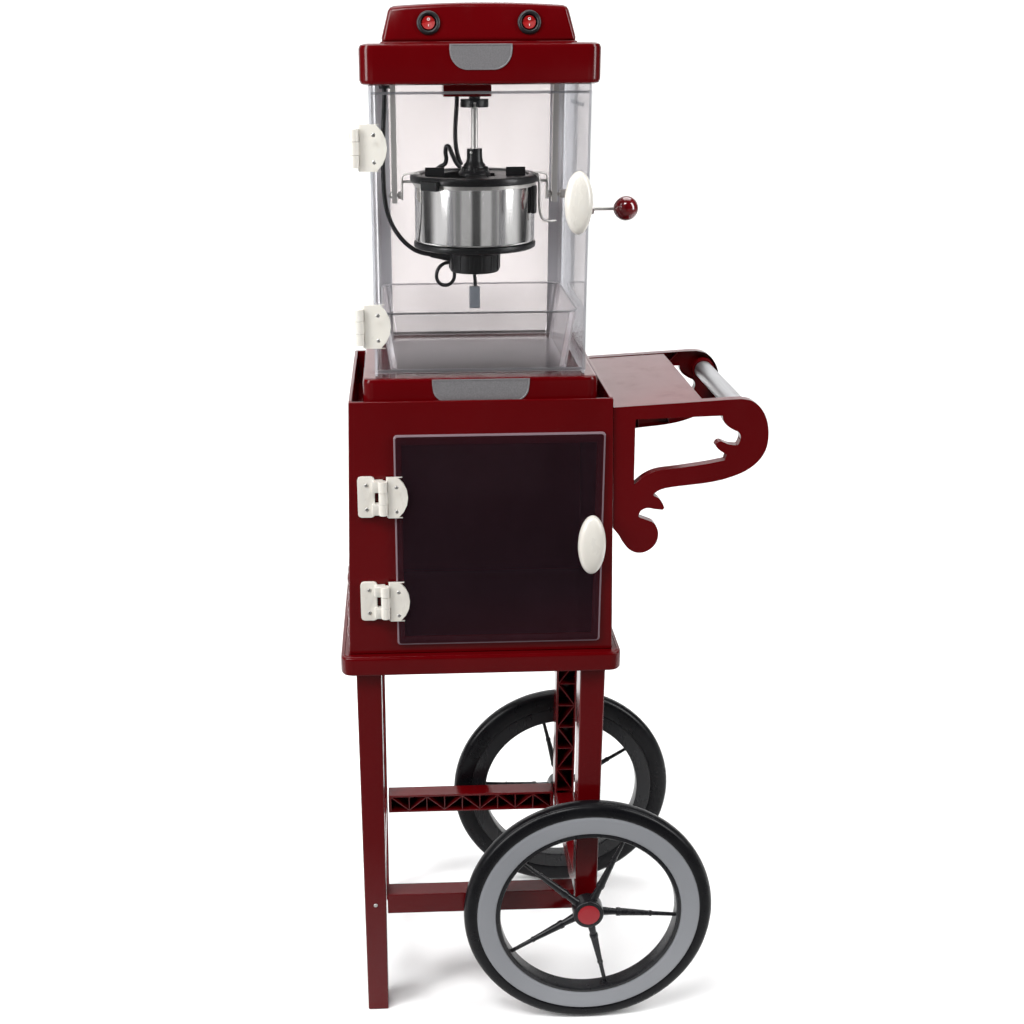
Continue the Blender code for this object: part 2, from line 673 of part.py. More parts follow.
def rocker(side):
    """Round rocker with two slightly sloping halves, in its round pocket."""
    bm = turned([(0.0, 0.0030), (SWITCH_R - 0.0018, 0.0030), (SWITCH_R - 0.0008, 0.0005),
                 (SWITCH_R - 0.0008, -0.0008), (SWITCH_R - 0.0016, -0.0018), (0.0, -0.0010)],
                "y", (0, 0, 0), 24)
    return solid("rocker_" + side, place_on_hood(bm, side), "red_plastic",
                 origin=switch_place(side) + Vector((0.0, 0.0015, 0.0)))


def stir_motor():
    """Geared motor standing on the canopy floor, with its output shaft through it."""
    floor_top = CANOPY_Z[0] + 0.0035
    body = solid("stir_motor",
                 turned([(0.0, 1.1075), (0.0200, 1.1075), (0.0200, 1.1480), (0.0, 1.1480)],
                        "z", (-0.009, 0.0, 0.0), 24), "satin_metal",
                 origin=(0.0, 0.0, floor_top))
    shaft = solid("join_motor_shaft", rod(0.0030, COUPLING_Z[1] + GAP, 1.1100))
    return fuse(body, shaft)


def glass_case():
    left, right = -CASE_HALF_X, CASE_HALF_X
    outline = rectangle(left, right, *CASE_Y)
    piece = solid("glass_case", prism(outline, *CASE_Z), "clear_plastic",
                  origin=(0, 0, CASE_Z[0]))
    hollow = solid("cut_case_hollow",
                   box((left + CASE_WALL, right - CASE_WALL),
                       (CASE_Y[0] - 0.01, CASE_Y[1] - CASE_WALL),
                       (CASE_Z[0] - 0.01, CASE_Z[1] + 0.01)))
    shaft_hole = solid("cut_handle_hole",
                       rod(0.0050, right - 0.01, right + 0.01, "x", (0, 0, PIVOT_Z)))
    cut(piece, hollow, shaft_hole)
    inner = CASE_HALF_X - CASE_WALL - GAP
    back = CASE_Y[1] - CASE_WALL - GAP
    solid("back_panel", box((-inner, inner), (back - 0.0015, back), CASE_Z), "white_panel",
          origin=(0, back, CASE_Z[0]))


def case_door():
    outline = round_rectangle(CASE_HALF_X, (CASE_DOOR_Z[1] - CASE_DOOR_Z[0]) / 2, 0.003, 2,
                              (0.0, sum(CASE_DOOR_Z) / 2))
    solid("case_door", prism(outline, *CASE_DOOR_Y, "y"), "clear_plastic",
          origin=(*CASE_HINGE_AXIS, CASE_DOOR_Z[0]))
    knob("case_knob", (0.1020, CASE_DOOR_Y[0] - GAP, 1.0010), (0.0148, 0.0325))


def case_hinge(place, z):
    """Door leaf on the front, fixed leaf folded back along the case's left side."""
    door_face = CASE_DOOR_Y[0] - GAP
    moving_leaf(f"case_door_leaf_{place}", CASE_HINGE_AXIS, z, (door_face - 0.0035, door_face),
                0.0335)
    side = -CASE_HALF_X - GAP
    name = f"case_leaf_{place}"
    x, y = CASE_HINGE_AXIS
    plate = round_rectangle(0.0110, LEAF_HALF - 0.001, 0.003, 2, (-0.0960, z))
    piece = solid(name, prism(plate, side - 0.0035, side, "x"), "ivory_plastic", (x, y, z))
    third = KNUCKLE_HALF / 3
    webs = [solid(f"join_web_{end}_" + name,
                  prism([(x - 0.0045, y), (x + 0.0010, y + 0.0055), (side, y + 0.0095),
                         (side, y + 0.0200), (side - 0.0034, y + 0.0200),
                         (x - 0.0045, y + 0.0070)],
                        *sorted((z + end * (third + GAP), z + end * KNUCKLE_HALF))))
            for end in (-1, 1)]
    return fuse(piece, *webs, *fixed_knuckles(name, CASE_HINGE_AXIS, z))


def popcorn_tray():
    z = (CASE_Z[0] + GAP, 0.8835)
    y_low, y_high = (-0.090, 0.080), (-0.098, 0.090)

    def outline(half, y):
        return round_rectangle(half, (y[1] - y[0]) / 2, 0.014, 4, (0.0, (y[0] + y[1]) / 2))

    def inset(y):
        return (y[0] + 0.002, y[1] - 0.002)

    piece = solid("popcorn_tray",
                  prism(outline(0.098, y_low), *z, far_outline=outline(0.107, y_high)),
                  "clear_plastic", origin=(0, 0, z[0]))
    hollow = solid("cut_tray_hollow",
                   prism(outline(0.096, inset(y_low)), z[0] + 0.002, z[1] + 0.0001,
                         far_outline=outline(0.1052, inset(y_high))))
    return cut(piece, hollow)


# ---------------------------------------------------------------- kettle and its drive

def support_arm(side):
    x = ARM_X if side == "right" else -ARM_X
    piece = solid("support_arm_" + side,
                  box((x - 0.0030, x + 0.0030), (-0.0055, 0.0055), (0.9895, CANOPY_Z[0])),
                  "satin_metal", origin=(x, 0.0, PIVOT_Z))
    bore = solid("cut_arm_bore_" + side, rod(0.0024, x - 0.02, x + 0.02, "x", (0, 0, PIVOT_Z)))
    return cut(piece, bore)


def kettle_pot():
    inner = POT_R - POT_WALL
    profile = [(0.0, POT_Z[0]), (POT_R - 0.003, POT_Z[0]), (POT_R, POT_Z[0] + 0.003),
               (POT_R, POT_Z[1]), (inner, POT_Z[1]), (inner, POT_Z[0] + 0.004),
               (inner - 0.002, POT_Z[0] + 0.002), (0.0, POT_Z[0] + 0.002)]
    solid("kettle_pot", turned(profile, segments=KETTLE_SEGMENTS), "steel", origin=(0, 0, PIVOT_Z))

    top = POT_Z[0] - GAP
    cup = [(0.0, HOUSING_BOTTOM_Z), (HOUSING_R - 0.004, HOUSING_BOTTOM_Z),
           (HOUSING_R - 0.002, HOUSING_BOTTOM_Z + 0.002), (HOUSING_R, 0.9360),
           (0.0600, 0.9395), (0.0686, 0.9425), (0.0686, top), (0.0560, top),
           (0.0560, 0.9425), (0.0250, 0.9425), (0.0250, 0.9160), (0.0, 0.9160)]
    solid("kettle_base", turned(cup, segments=KETTLE_SEGMENTS), "black_plastic", origin=(0, 0, PIVOT_Z))
    solid("heater_plate", rod(0.0555, 0.9428, top - GAP, segments=KETTLE_SEGMENTS), "satin_metal",
          origin=(0, 0, PIVOT_Z))


def kettle_yoke():
    """Steel band round the pot with a hanger and a pivot pin on each side."""
    band = [(POT_R + GAP, 1.0090), (POT_R + 0.0016, 1.0090), (POT_R + 0.0016, 1.0152),
            (POT_R + GAP, 1.0152)]
    piece = solid("kettle_yoke", turned(band, segments=KETTLE_SEGMENTS, ring=True), "steel",
                  origin=(0, 0, PIVOT_Z))
    for sx, side in ((-1, "left"), (1, "right")):
        ear = box(sorted((sx * 0.0682, sx * 0.0822)), (-0.0050, 0.0050), (1.0115, 1.0140))
        hanger = box(sorted((sx * 0.0800, sx * 0.0822)), (-0.0050, 0.0050), (0.9930, 1.0140))
        pin = rod(0.0020, *sorted((sx * 0.0805, sx * 0.0955)), "x", (0, 0, PIVOT_Z), 12)
        nut = rod(0.0045, *sorted((sx * 0.0815, sx * 0.0855)), "x", (0, 0, PIVOT_Z), 6)
        fuse(piece, *(solid(f"join_{label}_{side}", shape) for label, shape in
                      (("ear", ear), ("hanger", hanger), ("pin", pin), ("nut", nut))))
    return piece


def lid():
    """Ring and bridge on the pot, with the shaft's bearing, and two folding flaps."""
    ring = [(0.0605, LID_Z[0]), (LID_R, LID_Z[0]), (LID_R, LID_Z[1] - 0.001),
            (LID_R - 0.002, LID_Z[1]), (0.0605, LID_Z[1])]
    piece = solid("lid_bridge", turned(ring, segments=KETTLE_SEGMENTS, ring=True), "black_plastic",
                  origin=(0, 0, PIVOT_Z))
    bar = box((-0.0118, 0.0118), (-0.0620, 0.0620), LID_Z)
    cone = turned([(0.0, 1.0180), (0.0175, 1.0180), (0.0165, 1.0235), (0.0105, 1.0350),
                   (0.0085, 1.0380), (0.0085, 1.0480), (0.0, 1.0480)], segments=16)
    bore = rod(SHAFT_R + 2 * GAP, 1.00, 1.06)
    fuse(piece, solid("join_lid_bar", bar), solid("join_lid_cone", cone))
    cut(piece, solid("cut_lid_bore", bore))
    for side, sx in (("left", -1), ("right", 1)):
        flap(side, sx)


def flap(side, sx):
    radius, edge = 0.0590, FLAP_HINGE_X + 0.0005
    limit = 90.0 - 13.3
    outline = [(sx * x, y) for x, y in arc((0.0, 0.0), radius, -limit, limit, 14)]
    # the notch lets the flap stand up beside the bearing cone
    notch = [(0.0235, 0.0190), (0.0235, -0.0190), (edge, -0.0190)]
    outline = [(sx * edge, -0.0570), *outline, (sx * edge, 0.0570), (sx * edge, 0.0190),
               *((sx * x, y) for x, y in notch)]
    z = (LID_Z[0] + 0.0010, LID_Z[0] + 0.0035)
    piece = solid("lid_flap_" + side, prism(outline, *z), "black_plastic",
                  origin=(sx * FLAP_HINGE_X, 0.0, z[1]))
    tab = box(sorted((sx * 0.0340, sx * 0.0555)), (-0.0140, -0.0115), (z[0] + 0.001, 1.0290))
    return fuse(piece, solid("join_flap_tab_" + side, tab))


def stirrer():
    """Shaft through the lid, a tang for the coupling and a wiper above the pot's floor."""
    profile = [(0.0, 0.9520), (SHAFT_R, 0.9520), (SHAFT_R, 1.0910), (0.0, 1.0910)]
    piece = solid("stirrer", turned(profile, segments=16), "steel", origin=(0, 0, PIVOT_Z))
    tang = box((-0.0012, 0.0012), (-0.0030, 0.0030), (1.0880, 1.0960))
    wiper = box((-0.0560, 0.0560), (-0.0030, 0.0030), (0.9510, 0.9560))
    return fuse(piece, solid("join_tang", tang), solid("join_wiper", wiper))


def drive_coupling():
    profile = [(0.0, COUPLING_Z[0]), (0.0155, COUPLING_Z[0]), (0.0155, 1.1005),
               (0.0060, 1.1005), (0.0060, COUPLING_Z[1]), (0.0, COUPLING_Z[1])]
    piece = solid("drive_coupling", turned(profile, segments=24), "black_plastic",
                  origin=(0, 0, COUPLING_Z[1]))
    slot = solid("cut_coupling_slot", box((-0.0018, 0.0018), (-0.02, 0.02),
                                          (COUPLING_Z[0] - 0.01, 1.0972)))
    return cut(piece, slot)


def tilt_handle():
    """Shaft through the case's right side, a short crank outside and the ball's rod."""
    crank_end = Vector((0.1300, -0.0180, 0.9830))
    inner, shaft_r, collar_r = ARM_X + 0.0063, 0.0028, 0.0050
    shaft = [(0.0, inner), (collar_r, inner), (collar_r, inner + 0.0085),
             (shaft_r, inner + 0.0085), (shaft_r, 0.1305), (0.0, 0.1305)]
    piece = solid("tilt_handle", turned(shaft, "x", (0, 0, PIVOT_Z), 12), "steel",
                  origin=(ARM_X, 0, PIVOT_Z))
    angle = atan2(crank_end.z - PIVOT_Z, crank_end.y)
    length = (crank_end - Vector((crank_end.x, 0, PIVOT_Z))).length
    crank = box((0.1285, 0.1325), (-0.0045, length + 0.0045), (-0.0045, 0.0045))
    bmesh.ops.rotate(crank, verts=crank.verts, cent=(0, 0, 0),
                     matrix=Matrix.Rotation(angle, 3, "X"))
    bmesh.ops.translate(crank, verts=crank.verts, vec=(0, 0, PIVOT_Z))
    handle_rod = rod(0.0022, 0.1310, 0.1550, "x", (0, crank_end.y, crank_end.z), 10)
    fuse(piece, solid("join_crank", crank), solid("join_rod", handle_rod))

    centre, radius = Vector((0.1680, crank_end.y, crank_end.z)), 0.0140
    profile = [(radius * sin(radians(a)), -radius * cos(radians(a))) for a in range(0, 181, 20)]
    profile[0], profile[-1] = (0.0, -radius), (0.0, radius)
    ball = solid("handle_ball", turned(profile, "x", centre, 16), "red_plastic", origin=centre)
    bore = solid("cut_ball_bore", rod(0.0022 + GAP, 0.14, 0.1553, "x", (0, *crank_end.yz), 10))
    return cut(ball, bore)


CORD_D = 0.005
KETTLE_CORD = [(-0.0985, 0.000, 1.1188), (-0.0986, 0.000, 1.1040), (-0.1000, -0.001, 1.0800),
               (-0.1015, -0.002, 1.0500), (-0.1018, -0.002, 1.0200), (-0.1005, -0.002, 0.9930),
               (-0.0960, -0.002, 0.9730), (-0.0880, -0.002, 0.9570), (-0.0770, -0.002, 0.9440),
               (-0.0640, -0.002, 0.9355), (-0.0480, -0.001, 0.9318), (-0.0305, 0.000, 0.9310)]
LEAD_D = 0.004
KETTLE_LEAD = [(-0.0292, -0.010, 0.9240), (-0.0350, -0.0115, 0.9232), (-0.0408, -0.013, 0.9190),
               (-0.0438, -0.013, 0.9115), (-0.0425, -0.012, 0.9035), (-0.0365, -0.010, 0.8985),
               (-0.0290, -0.007, 0.8990), (-0.0240, -0.005, 0.9045), (-0.0232, -0.004, 0.9121)]
PROBE_LEAD = [(0.0, 0.0, HOUSING_BOTTOM_Z - GAP), (0.0, 0.0, 0.9070), (0.0005, 0.0, 0.9020),
              (0.0008, 0.0, 0.8953)]


def cords():
    cord("kettle_cord", KETTLE_CORD, CORD_D)
    cord("kettle_lead", KETTLE_LEAD, LEAD_D)
    cord("probe_lead", PROBE_LEAD, LEAD_D)
    plug = prism(round_rectangle(0.0060, 0.0040, 0.0015, 2), 0.8700, 0.8950)
    soften(solid("probe_plug", plug, "grey_plastic", origin=(0, 0, 0.8950)), 0.0008, 1)


# ---------------------------------------------------------------- whole object

for leg_side in ("left", "right"):
    for leg_end in ("front", "back"):
        leg(leg_side, leg_end)
    side_brace(leg_side)
for cart_end in ("front", "back"):
    cross_brace(cart_end)
    wheel(cart_end)
    tyre(cart_end)
    bracket(cart_end)
deck()
axle()
cabinet()
cabinet_door()
for hinge_place, cabinet_z, case_z in zip(("lower", "upper"), HINGE_Z, CASE_HINGE_Z):
    cabinet_hinge(hinge_place, cabinet_z)
    case_hinge(hinge_place, case_z)
shelf()
machine_base()
canopy()
hood()
stir_motor()
glass_case()
case_door()
popcorn_tray()
for arm_side in ("left", "right"):
    support_arm(arm_side)
kettle_pot()
kettle_yoke()
lid()
stirrer()
drive_coupling()
tilt_handle()
cords()
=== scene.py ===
"""Looks of the popcorn machine and its two-wheel cart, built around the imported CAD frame."""
import json
from math import atan2, cos, pi, radians, sin

import bmesh
import bpy
from mathutils import Matrix, Vector

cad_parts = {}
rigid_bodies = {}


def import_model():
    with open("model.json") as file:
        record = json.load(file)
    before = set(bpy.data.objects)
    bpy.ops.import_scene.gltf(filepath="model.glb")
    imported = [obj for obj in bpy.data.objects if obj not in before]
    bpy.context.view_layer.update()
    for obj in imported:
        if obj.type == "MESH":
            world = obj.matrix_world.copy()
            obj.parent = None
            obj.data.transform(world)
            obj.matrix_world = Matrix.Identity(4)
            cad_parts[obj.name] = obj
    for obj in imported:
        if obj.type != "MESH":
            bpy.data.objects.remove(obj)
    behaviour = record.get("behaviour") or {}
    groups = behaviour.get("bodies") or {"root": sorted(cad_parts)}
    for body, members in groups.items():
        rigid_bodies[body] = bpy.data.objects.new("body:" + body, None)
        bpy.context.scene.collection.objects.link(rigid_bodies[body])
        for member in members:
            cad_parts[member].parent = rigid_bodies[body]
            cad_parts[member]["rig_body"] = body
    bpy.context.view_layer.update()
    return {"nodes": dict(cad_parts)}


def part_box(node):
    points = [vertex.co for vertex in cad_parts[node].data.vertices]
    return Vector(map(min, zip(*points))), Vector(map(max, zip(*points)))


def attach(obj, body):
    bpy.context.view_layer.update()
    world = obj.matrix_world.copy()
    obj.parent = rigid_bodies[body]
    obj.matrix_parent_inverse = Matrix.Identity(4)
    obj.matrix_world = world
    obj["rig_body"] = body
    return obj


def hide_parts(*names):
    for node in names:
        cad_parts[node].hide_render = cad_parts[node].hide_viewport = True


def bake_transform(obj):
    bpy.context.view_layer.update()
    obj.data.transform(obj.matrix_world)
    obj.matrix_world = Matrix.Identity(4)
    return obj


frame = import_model()

# ---------------------------------------------------------------- places read from the frame

DECK_LOW, DECK_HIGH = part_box("cart_deck")
CART_X = (DECK_LOW.x + DECK_HIGH.x) / 2.0       # middle of the cart
CABINET_LOW, CABINET_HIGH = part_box("cabinet_body")
DOOR_LOW, DOOR_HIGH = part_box("cabinet_door")
CASE_LOW, CASE_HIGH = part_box("glass_case")
CASE_DOOR_LOW, CASE_DOOR_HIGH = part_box("case_door")
BASE_LOW, BASE_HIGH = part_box("machine_base")
CANOPY_LOW, CANOPY_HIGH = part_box("canopy")
HOOD_LOW, HOOD_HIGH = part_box("hood")
TRAY_LOW, TRAY_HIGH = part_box("popcorn_tray")
POT_LOW, POT_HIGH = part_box("kettle_pot")
POT_R = (POT_HIGH.x - POT_LOW.x) / 2.0
LID_LOW, LID_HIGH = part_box("lid_bridge")
LID_R = (LID_HIGH.x - LID_LOW.x) / 2.0
TYRE_LOW, TYRE_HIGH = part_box("tyre_front")
WHEEL_R = (TYRE_HIGH.z - TYRE_LOW.z) / 2.0
ORIGIN = Vector((0.0, 0.0, 0.0))


def at(x, y, z):
    """A place given from the middle of the cart."""
    return Vector((x + CART_X, y, z))


# ---------------------------------------------------------------- camera

def studio_camera():
    """Just above the canopy and a little to the left, looking slightly down."""
    data = bpy.data.cameras.new("studio_camera")
    data.sensor_width = 36.0
    data.lens = 47.89
    data.shift_x = 0.0562
    data.clip_end = 50.0
    pitch, yaw, roll = radians(19.192), radians(-2.201), radians(-0.365)
    across = Vector((cos(yaw), sin(yaw), 0.0))
    ahead = Vector((-sin(yaw), cos(yaw), 0.0))
    up = Vector((0.0, 0.0, 1.0))
    look = ahead * cos(pitch) - up * sin(pitch)
    head = ahead * sin(pitch) + up * cos(pitch)
    right = across * cos(roll) + head * sin(roll)
    top = head * cos(roll) - across * sin(roll)
    camera = bpy.data.objects.new("studio_camera", data)
    bpy.context.scene.collection.objects.link(camera)
    turn = Matrix((right, top, -look)).transposed().to_4x4()
    camera.matrix_world = Matrix.Translation((-0.1625, -1.5576, 1.1640)) @ turn
    bpy.context.scene.camera = camera


studio_camera()


# ---------------------------------------------------------------- shader maths

class Value:
    """A shader value that Python's own operators work on."""

    def __init__(self, recipe, socket):
        self.recipe = recipe
        self.socket = socket

    def math(self, operation, *inputs):
        return self.recipe.add("ShaderNodeMath", {"operation": operation},
                               dict(enumerate(inputs)))

    def __add__(self, other):
        return self.math("ADD", self, other)

    def __sub__(self, other):
        return self.math("SUBTRACT", self, other)

    def __rsub__(self, other):
        return self.math("SUBTRACT", other, self)

    def __mul__(self, other):
        return self.math("MULTIPLY", self, other)

    __radd__ = __add__
    __rmul__ = __mul__

    def ramp(self, low, high, to_low=0.0, to_high=1.0):
        """Rise smoothly from to_low to to_high while the value goes from low to high."""
        return self.recipe.add("ShaderNodeMapRange", {"interpolation_type": "SMOOTHSTEP"},
                               {"Value": self, "From Min": low, "From Max": high,
                                "To Min": to_low, "To Max": to_high})


class Recipe:
    """One material: its Principled shader, and a short way to add any other node."""

    def __init__(self, name, **settings):
        self.material = bpy.data.materials.new(name)
        self.material.use_nodes = True
        self.tree = self.material.node_tree
        self.shader = self.tree.nodes["Principled BSDF"]
        self.surface = self.tree.nodes["Material Output"].inputs["Surface"]
        self.set(**settings)

    def feed(self, socket, value):
        """Link a value to a socket, or set the socket when the value is plain."""
        if isinstance(value, Value):
            self.tree.links.new(value.socket, socket)
        elif isinstance(value, tuple) and len(value) == 3 and socket.type == "RGBA":
            socket.default_value = (*value, 1.0)
        else:
            socket.default_value = value

    def add(self, kind, settings=None, inputs=None, output=0):
        """Any node: its type, its settings, then the values or links of its sockets."""
        node = self.tree.nodes.new(kind)
        for key, value in (settings or {}).items():
            setattr(node, key, value)
        for key, value in (inputs or {}).items():
            self.feed(node.inputs[key], value)
        return Value(self, node.outputs[output])

    def place(self, scale=(1.0, 1.0, 1.0)):
        """Object coordinates, stretched so that a pattern runs long one way."""
        spot = self.add("ShaderNodeTexCoord", output="Object")
        return self.add("ShaderNodeMapping", inputs={"Vector": spot, "Scale": scale})

    def noise(self, scale, detail=3.0, roughness=0.55, stretch=(1.0, 1.0, 1.0)):
        return self.add("ShaderNodeTexNoise",
                        inputs={"Vector": self.place(stretch), "Scale": scale,
                                "Detail": detail, "Roughness": roughness}, output="Fac")

    def mix(self, share, first, second):
        return self.add("ShaderNodeMix", {"data_type": "RGBA"},
                        {"Factor": share, 6: first, 7: second}, output=2)

    def bump(self, height, strength, distance=0.001):
        normal = self.add("ShaderNodeBump", inputs={"Height": height, "Strength": strength,
                                                    "Distance": distance})
        self.set(normal=normal)

    def set(self, **settings):
        """Give the shader's sockets their values by name, such as base_color or ior."""
        for key, value in settings.items():
            socket = key.replace("_", " ").title().replace("Ior", "IOR")
            self.feed(self.shader.inputs[socket], value)

    def let_through(self, tint, kept):
        """Mix the shader with plain see-through; `kept` is the shader's share."""
        through = self.add("ShaderNodeBsdfTransparent", inputs={"Color": tint})
        sheet = Value(self, self.shader.outputs["BSDF"])
        self.feed(self.surface, self.add("ShaderNodeMixShader",
                                         inputs={"Fac": kept, 1: through, 2: sheet}))


class Surroundings(Recipe):
    """The same short way to add nodes, for the world's light."""

    def __init__(self, world):
        self.tree = world.node_tree


# ---------------------------------------------------------------- finishes

def moulded(name, dark, light, roughness, coat=0.0, grain_depth=0.0003, wave_depth=0.0,
            shine=0.5):
    """Moulded plastic: slow flow marks in its colour, slight waviness, fine grain, handling."""
    recipe = Recipe(name, coat_weight=coat, coat_roughness=0.04, ior=1.5,
                    specular_ior_level=shine)
    flow = recipe.noise(7.0, 3.0, 0.5, (1.0, 1.0, 0.45))
    handling = recipe.noise(38.0, 5.0, 0.65, (1.0, 1.0, 0.35))
    recipe.set(base_color=recipe.mix(flow.ramp(0.3, 0.7), dark, light))
    recipe.set(roughness=handling.ramp(0.42, 0.75, roughness, roughness + 0.10))
    waviness = recipe.noise(16.0, 1.0)
    fine = recipe.noise(900.0, 2.0)
    recipe.bump(waviness * wave_depth + fine * grain_depth, 0.35, 0.01)
    return recipe.material


def tyre_rubber():
    """Rubber-like blow-moulded tyre with faint dust in patches."""
    recipe = Recipe("tyre_rubber", ior=1.5, specular_ior_level=0.16)
    dust = recipe.noise(26.0, 5.0, 0.7)
    recipe.set(base_color=recipe.mix(dust.ramp(0.45, 0.8), (0.0040, 0.0040, 0.0050),
                                     (0.0080, 0.0080, 0.0092)))
    recipe.set(roughness=dust.ramp(0.3, 0.8, 0.24, 0.42))
    recipe.bump(recipe.noise(700.0, 2.0) * 0.0012 + recipe.noise(30.0, 1.0) * 0.006, 0.4, 0.01)
    return recipe.material


def cord_rubber():
    """Dull black sleeve of the cords."""
    recipe = Recipe("cord_rubber", ior=1.48, specular_ior_level=0.35)
    mottle = recipe.noise(120.0, 4.0)
    recipe.set(base_color=recipe.mix(mottle, (0.0055, 0.0055, 0.0070), (0.012, 0.012, 0.014)))
    recipe.set(roughness=mottle.ramp(0.3, 0.7, 0.36, 0.50))
    recipe.bump(recipe.noise(1500.0, 2.0) * 0.001, 0.3, 0.01)
    return recipe.material


def ivory_plastic():
    """Ivory moulding that lets a little light in under its surface."""
    material = moulded("ivory_plastic", (0.62, 0.59, 0.535), (0.68, 0.655, 0.60), 0.27, coat=0.25,
                       wave_depth=0.003)
    shader = material.node_tree.nodes["Principled BSDF"]
    shader.inputs["Subsurface Weight"].default_value = 0.06
    shader.inputs["Subsurface Radius"].default_value = (0.004, 0.003, 0.002)
    return material


def panel_white():
    """Milky coated sheet behind the kettle, with a faint warm film of oil in patches."""
    recipe = Recipe("panel_white", ior=1.5, specular_ior_level=0.35)
    film = recipe.noise(9.0, 4.0, 0.6, (1.0, 1.0, 0.35))
    recipe.set(base_color=recipe.mix(film.ramp(0.35, 0.75), (0.90, 0.865, 0.855),
                                     (0.84, 0.795, 0.780)))
    recipe.set(roughness=film.ramp(0.3, 0.8, 0.34, 0.48))
    recipe.bump(recipe.noise(60.0, 2.0) * 0.003, 0.2, 0.01)
    recipe.let_through((0.97, 0.94, 0.935), 0.30)
    return recipe.material


def polished_steel():
    """Drawn and polished sheet: fine lines round it and a little cooking haze."""
    recipe = Recipe("polished_steel", metallic=1.0)
    lines = recipe.noise(60.0, 4.0, 0.7, (1.0, 1.0, 26.0))
    haze = recipe.noise(30.0, 4.0, 0.6, (1.0, 1.0, 0.25))
    recipe.set(base_color=recipe.mix(haze.ramp(0.35, 0.75), (0.86, 0.85, 0.84),
                                     (0.74, 0.73, 0.71)))
    recipe.set(roughness=haze.ramp(0.35, 0.8, 0.07, 0.14))
    recipe.bump(lines * 0.0006 + recipe.noise(13.0, 1.0) * 0.012, 0.25, 0.01)
    return recipe.material


def drawn_metal(name, colour, roughness, stretch, metal=1.0):
    """Satin metal with fine lines along one direction."""
    recipe = Recipe(name, metallic=metal)
    lines = recipe.noise(420.0, 4.0, 0.7, stretch)
    tint = tuple(c * 0.82 for c in colour)
    recipe.set(base_color=recipe.mix(lines.ramp(0.3, 0.7), tint, colour))
    recipe.set(roughness=lines.ramp(0.3, 0.7, roughness, roughness + 0.12))
    recipe.bump(lines * 0.0006, 0.3, 0.01)
    return recipe.material


def badge_metal():
    """Grained metal foil under a thin clear coat."""
    recipe = Recipe("badge_metal", metallic=0.55, coat_weight=0.3, coat_roughness=0.15)
    grain = recipe.noise(900.0, 3.0, 0.6)
    recipe.set(base_color=recipe.mix(grain.ramp(0.3, 0.7), (0.235, 0.228, 0.238),
                                     (0.300, 0.292, 0.302)))
    recipe.set(roughness=grain.ramp(0.3, 0.7, 0.33, 0.42))
    recipe.bump(grain * 0.0004, 0.3, 0.01)
    return recipe.material


def see_through(name, tint, clearness, gloss=0.03, milk=(0.9, 0.9, 0.92), mirror=0.95):
    """A thin sheet that light passes straight through.  What it keeps back is mostly a clean
    reflection, stronger at a slant, and a little of its own milky colour."""
    recipe = Recipe(name, base_color=milk, roughness=gloss, metallic=mirror, ior=1.49)
    smears = recipe.noise(21.0, 5.0, 0.65, (1.0, 1.0, 0.4))
    slant = recipe.add("ShaderNodeFresnel", inputs={"IOR": 1.42})
    kept = slant * 0.85 + smears.ramp(0.4, 0.85, 1.0 - clearness, 1.015 - clearness)
    recipe.let_through(tint, kept)
    return recipe.material


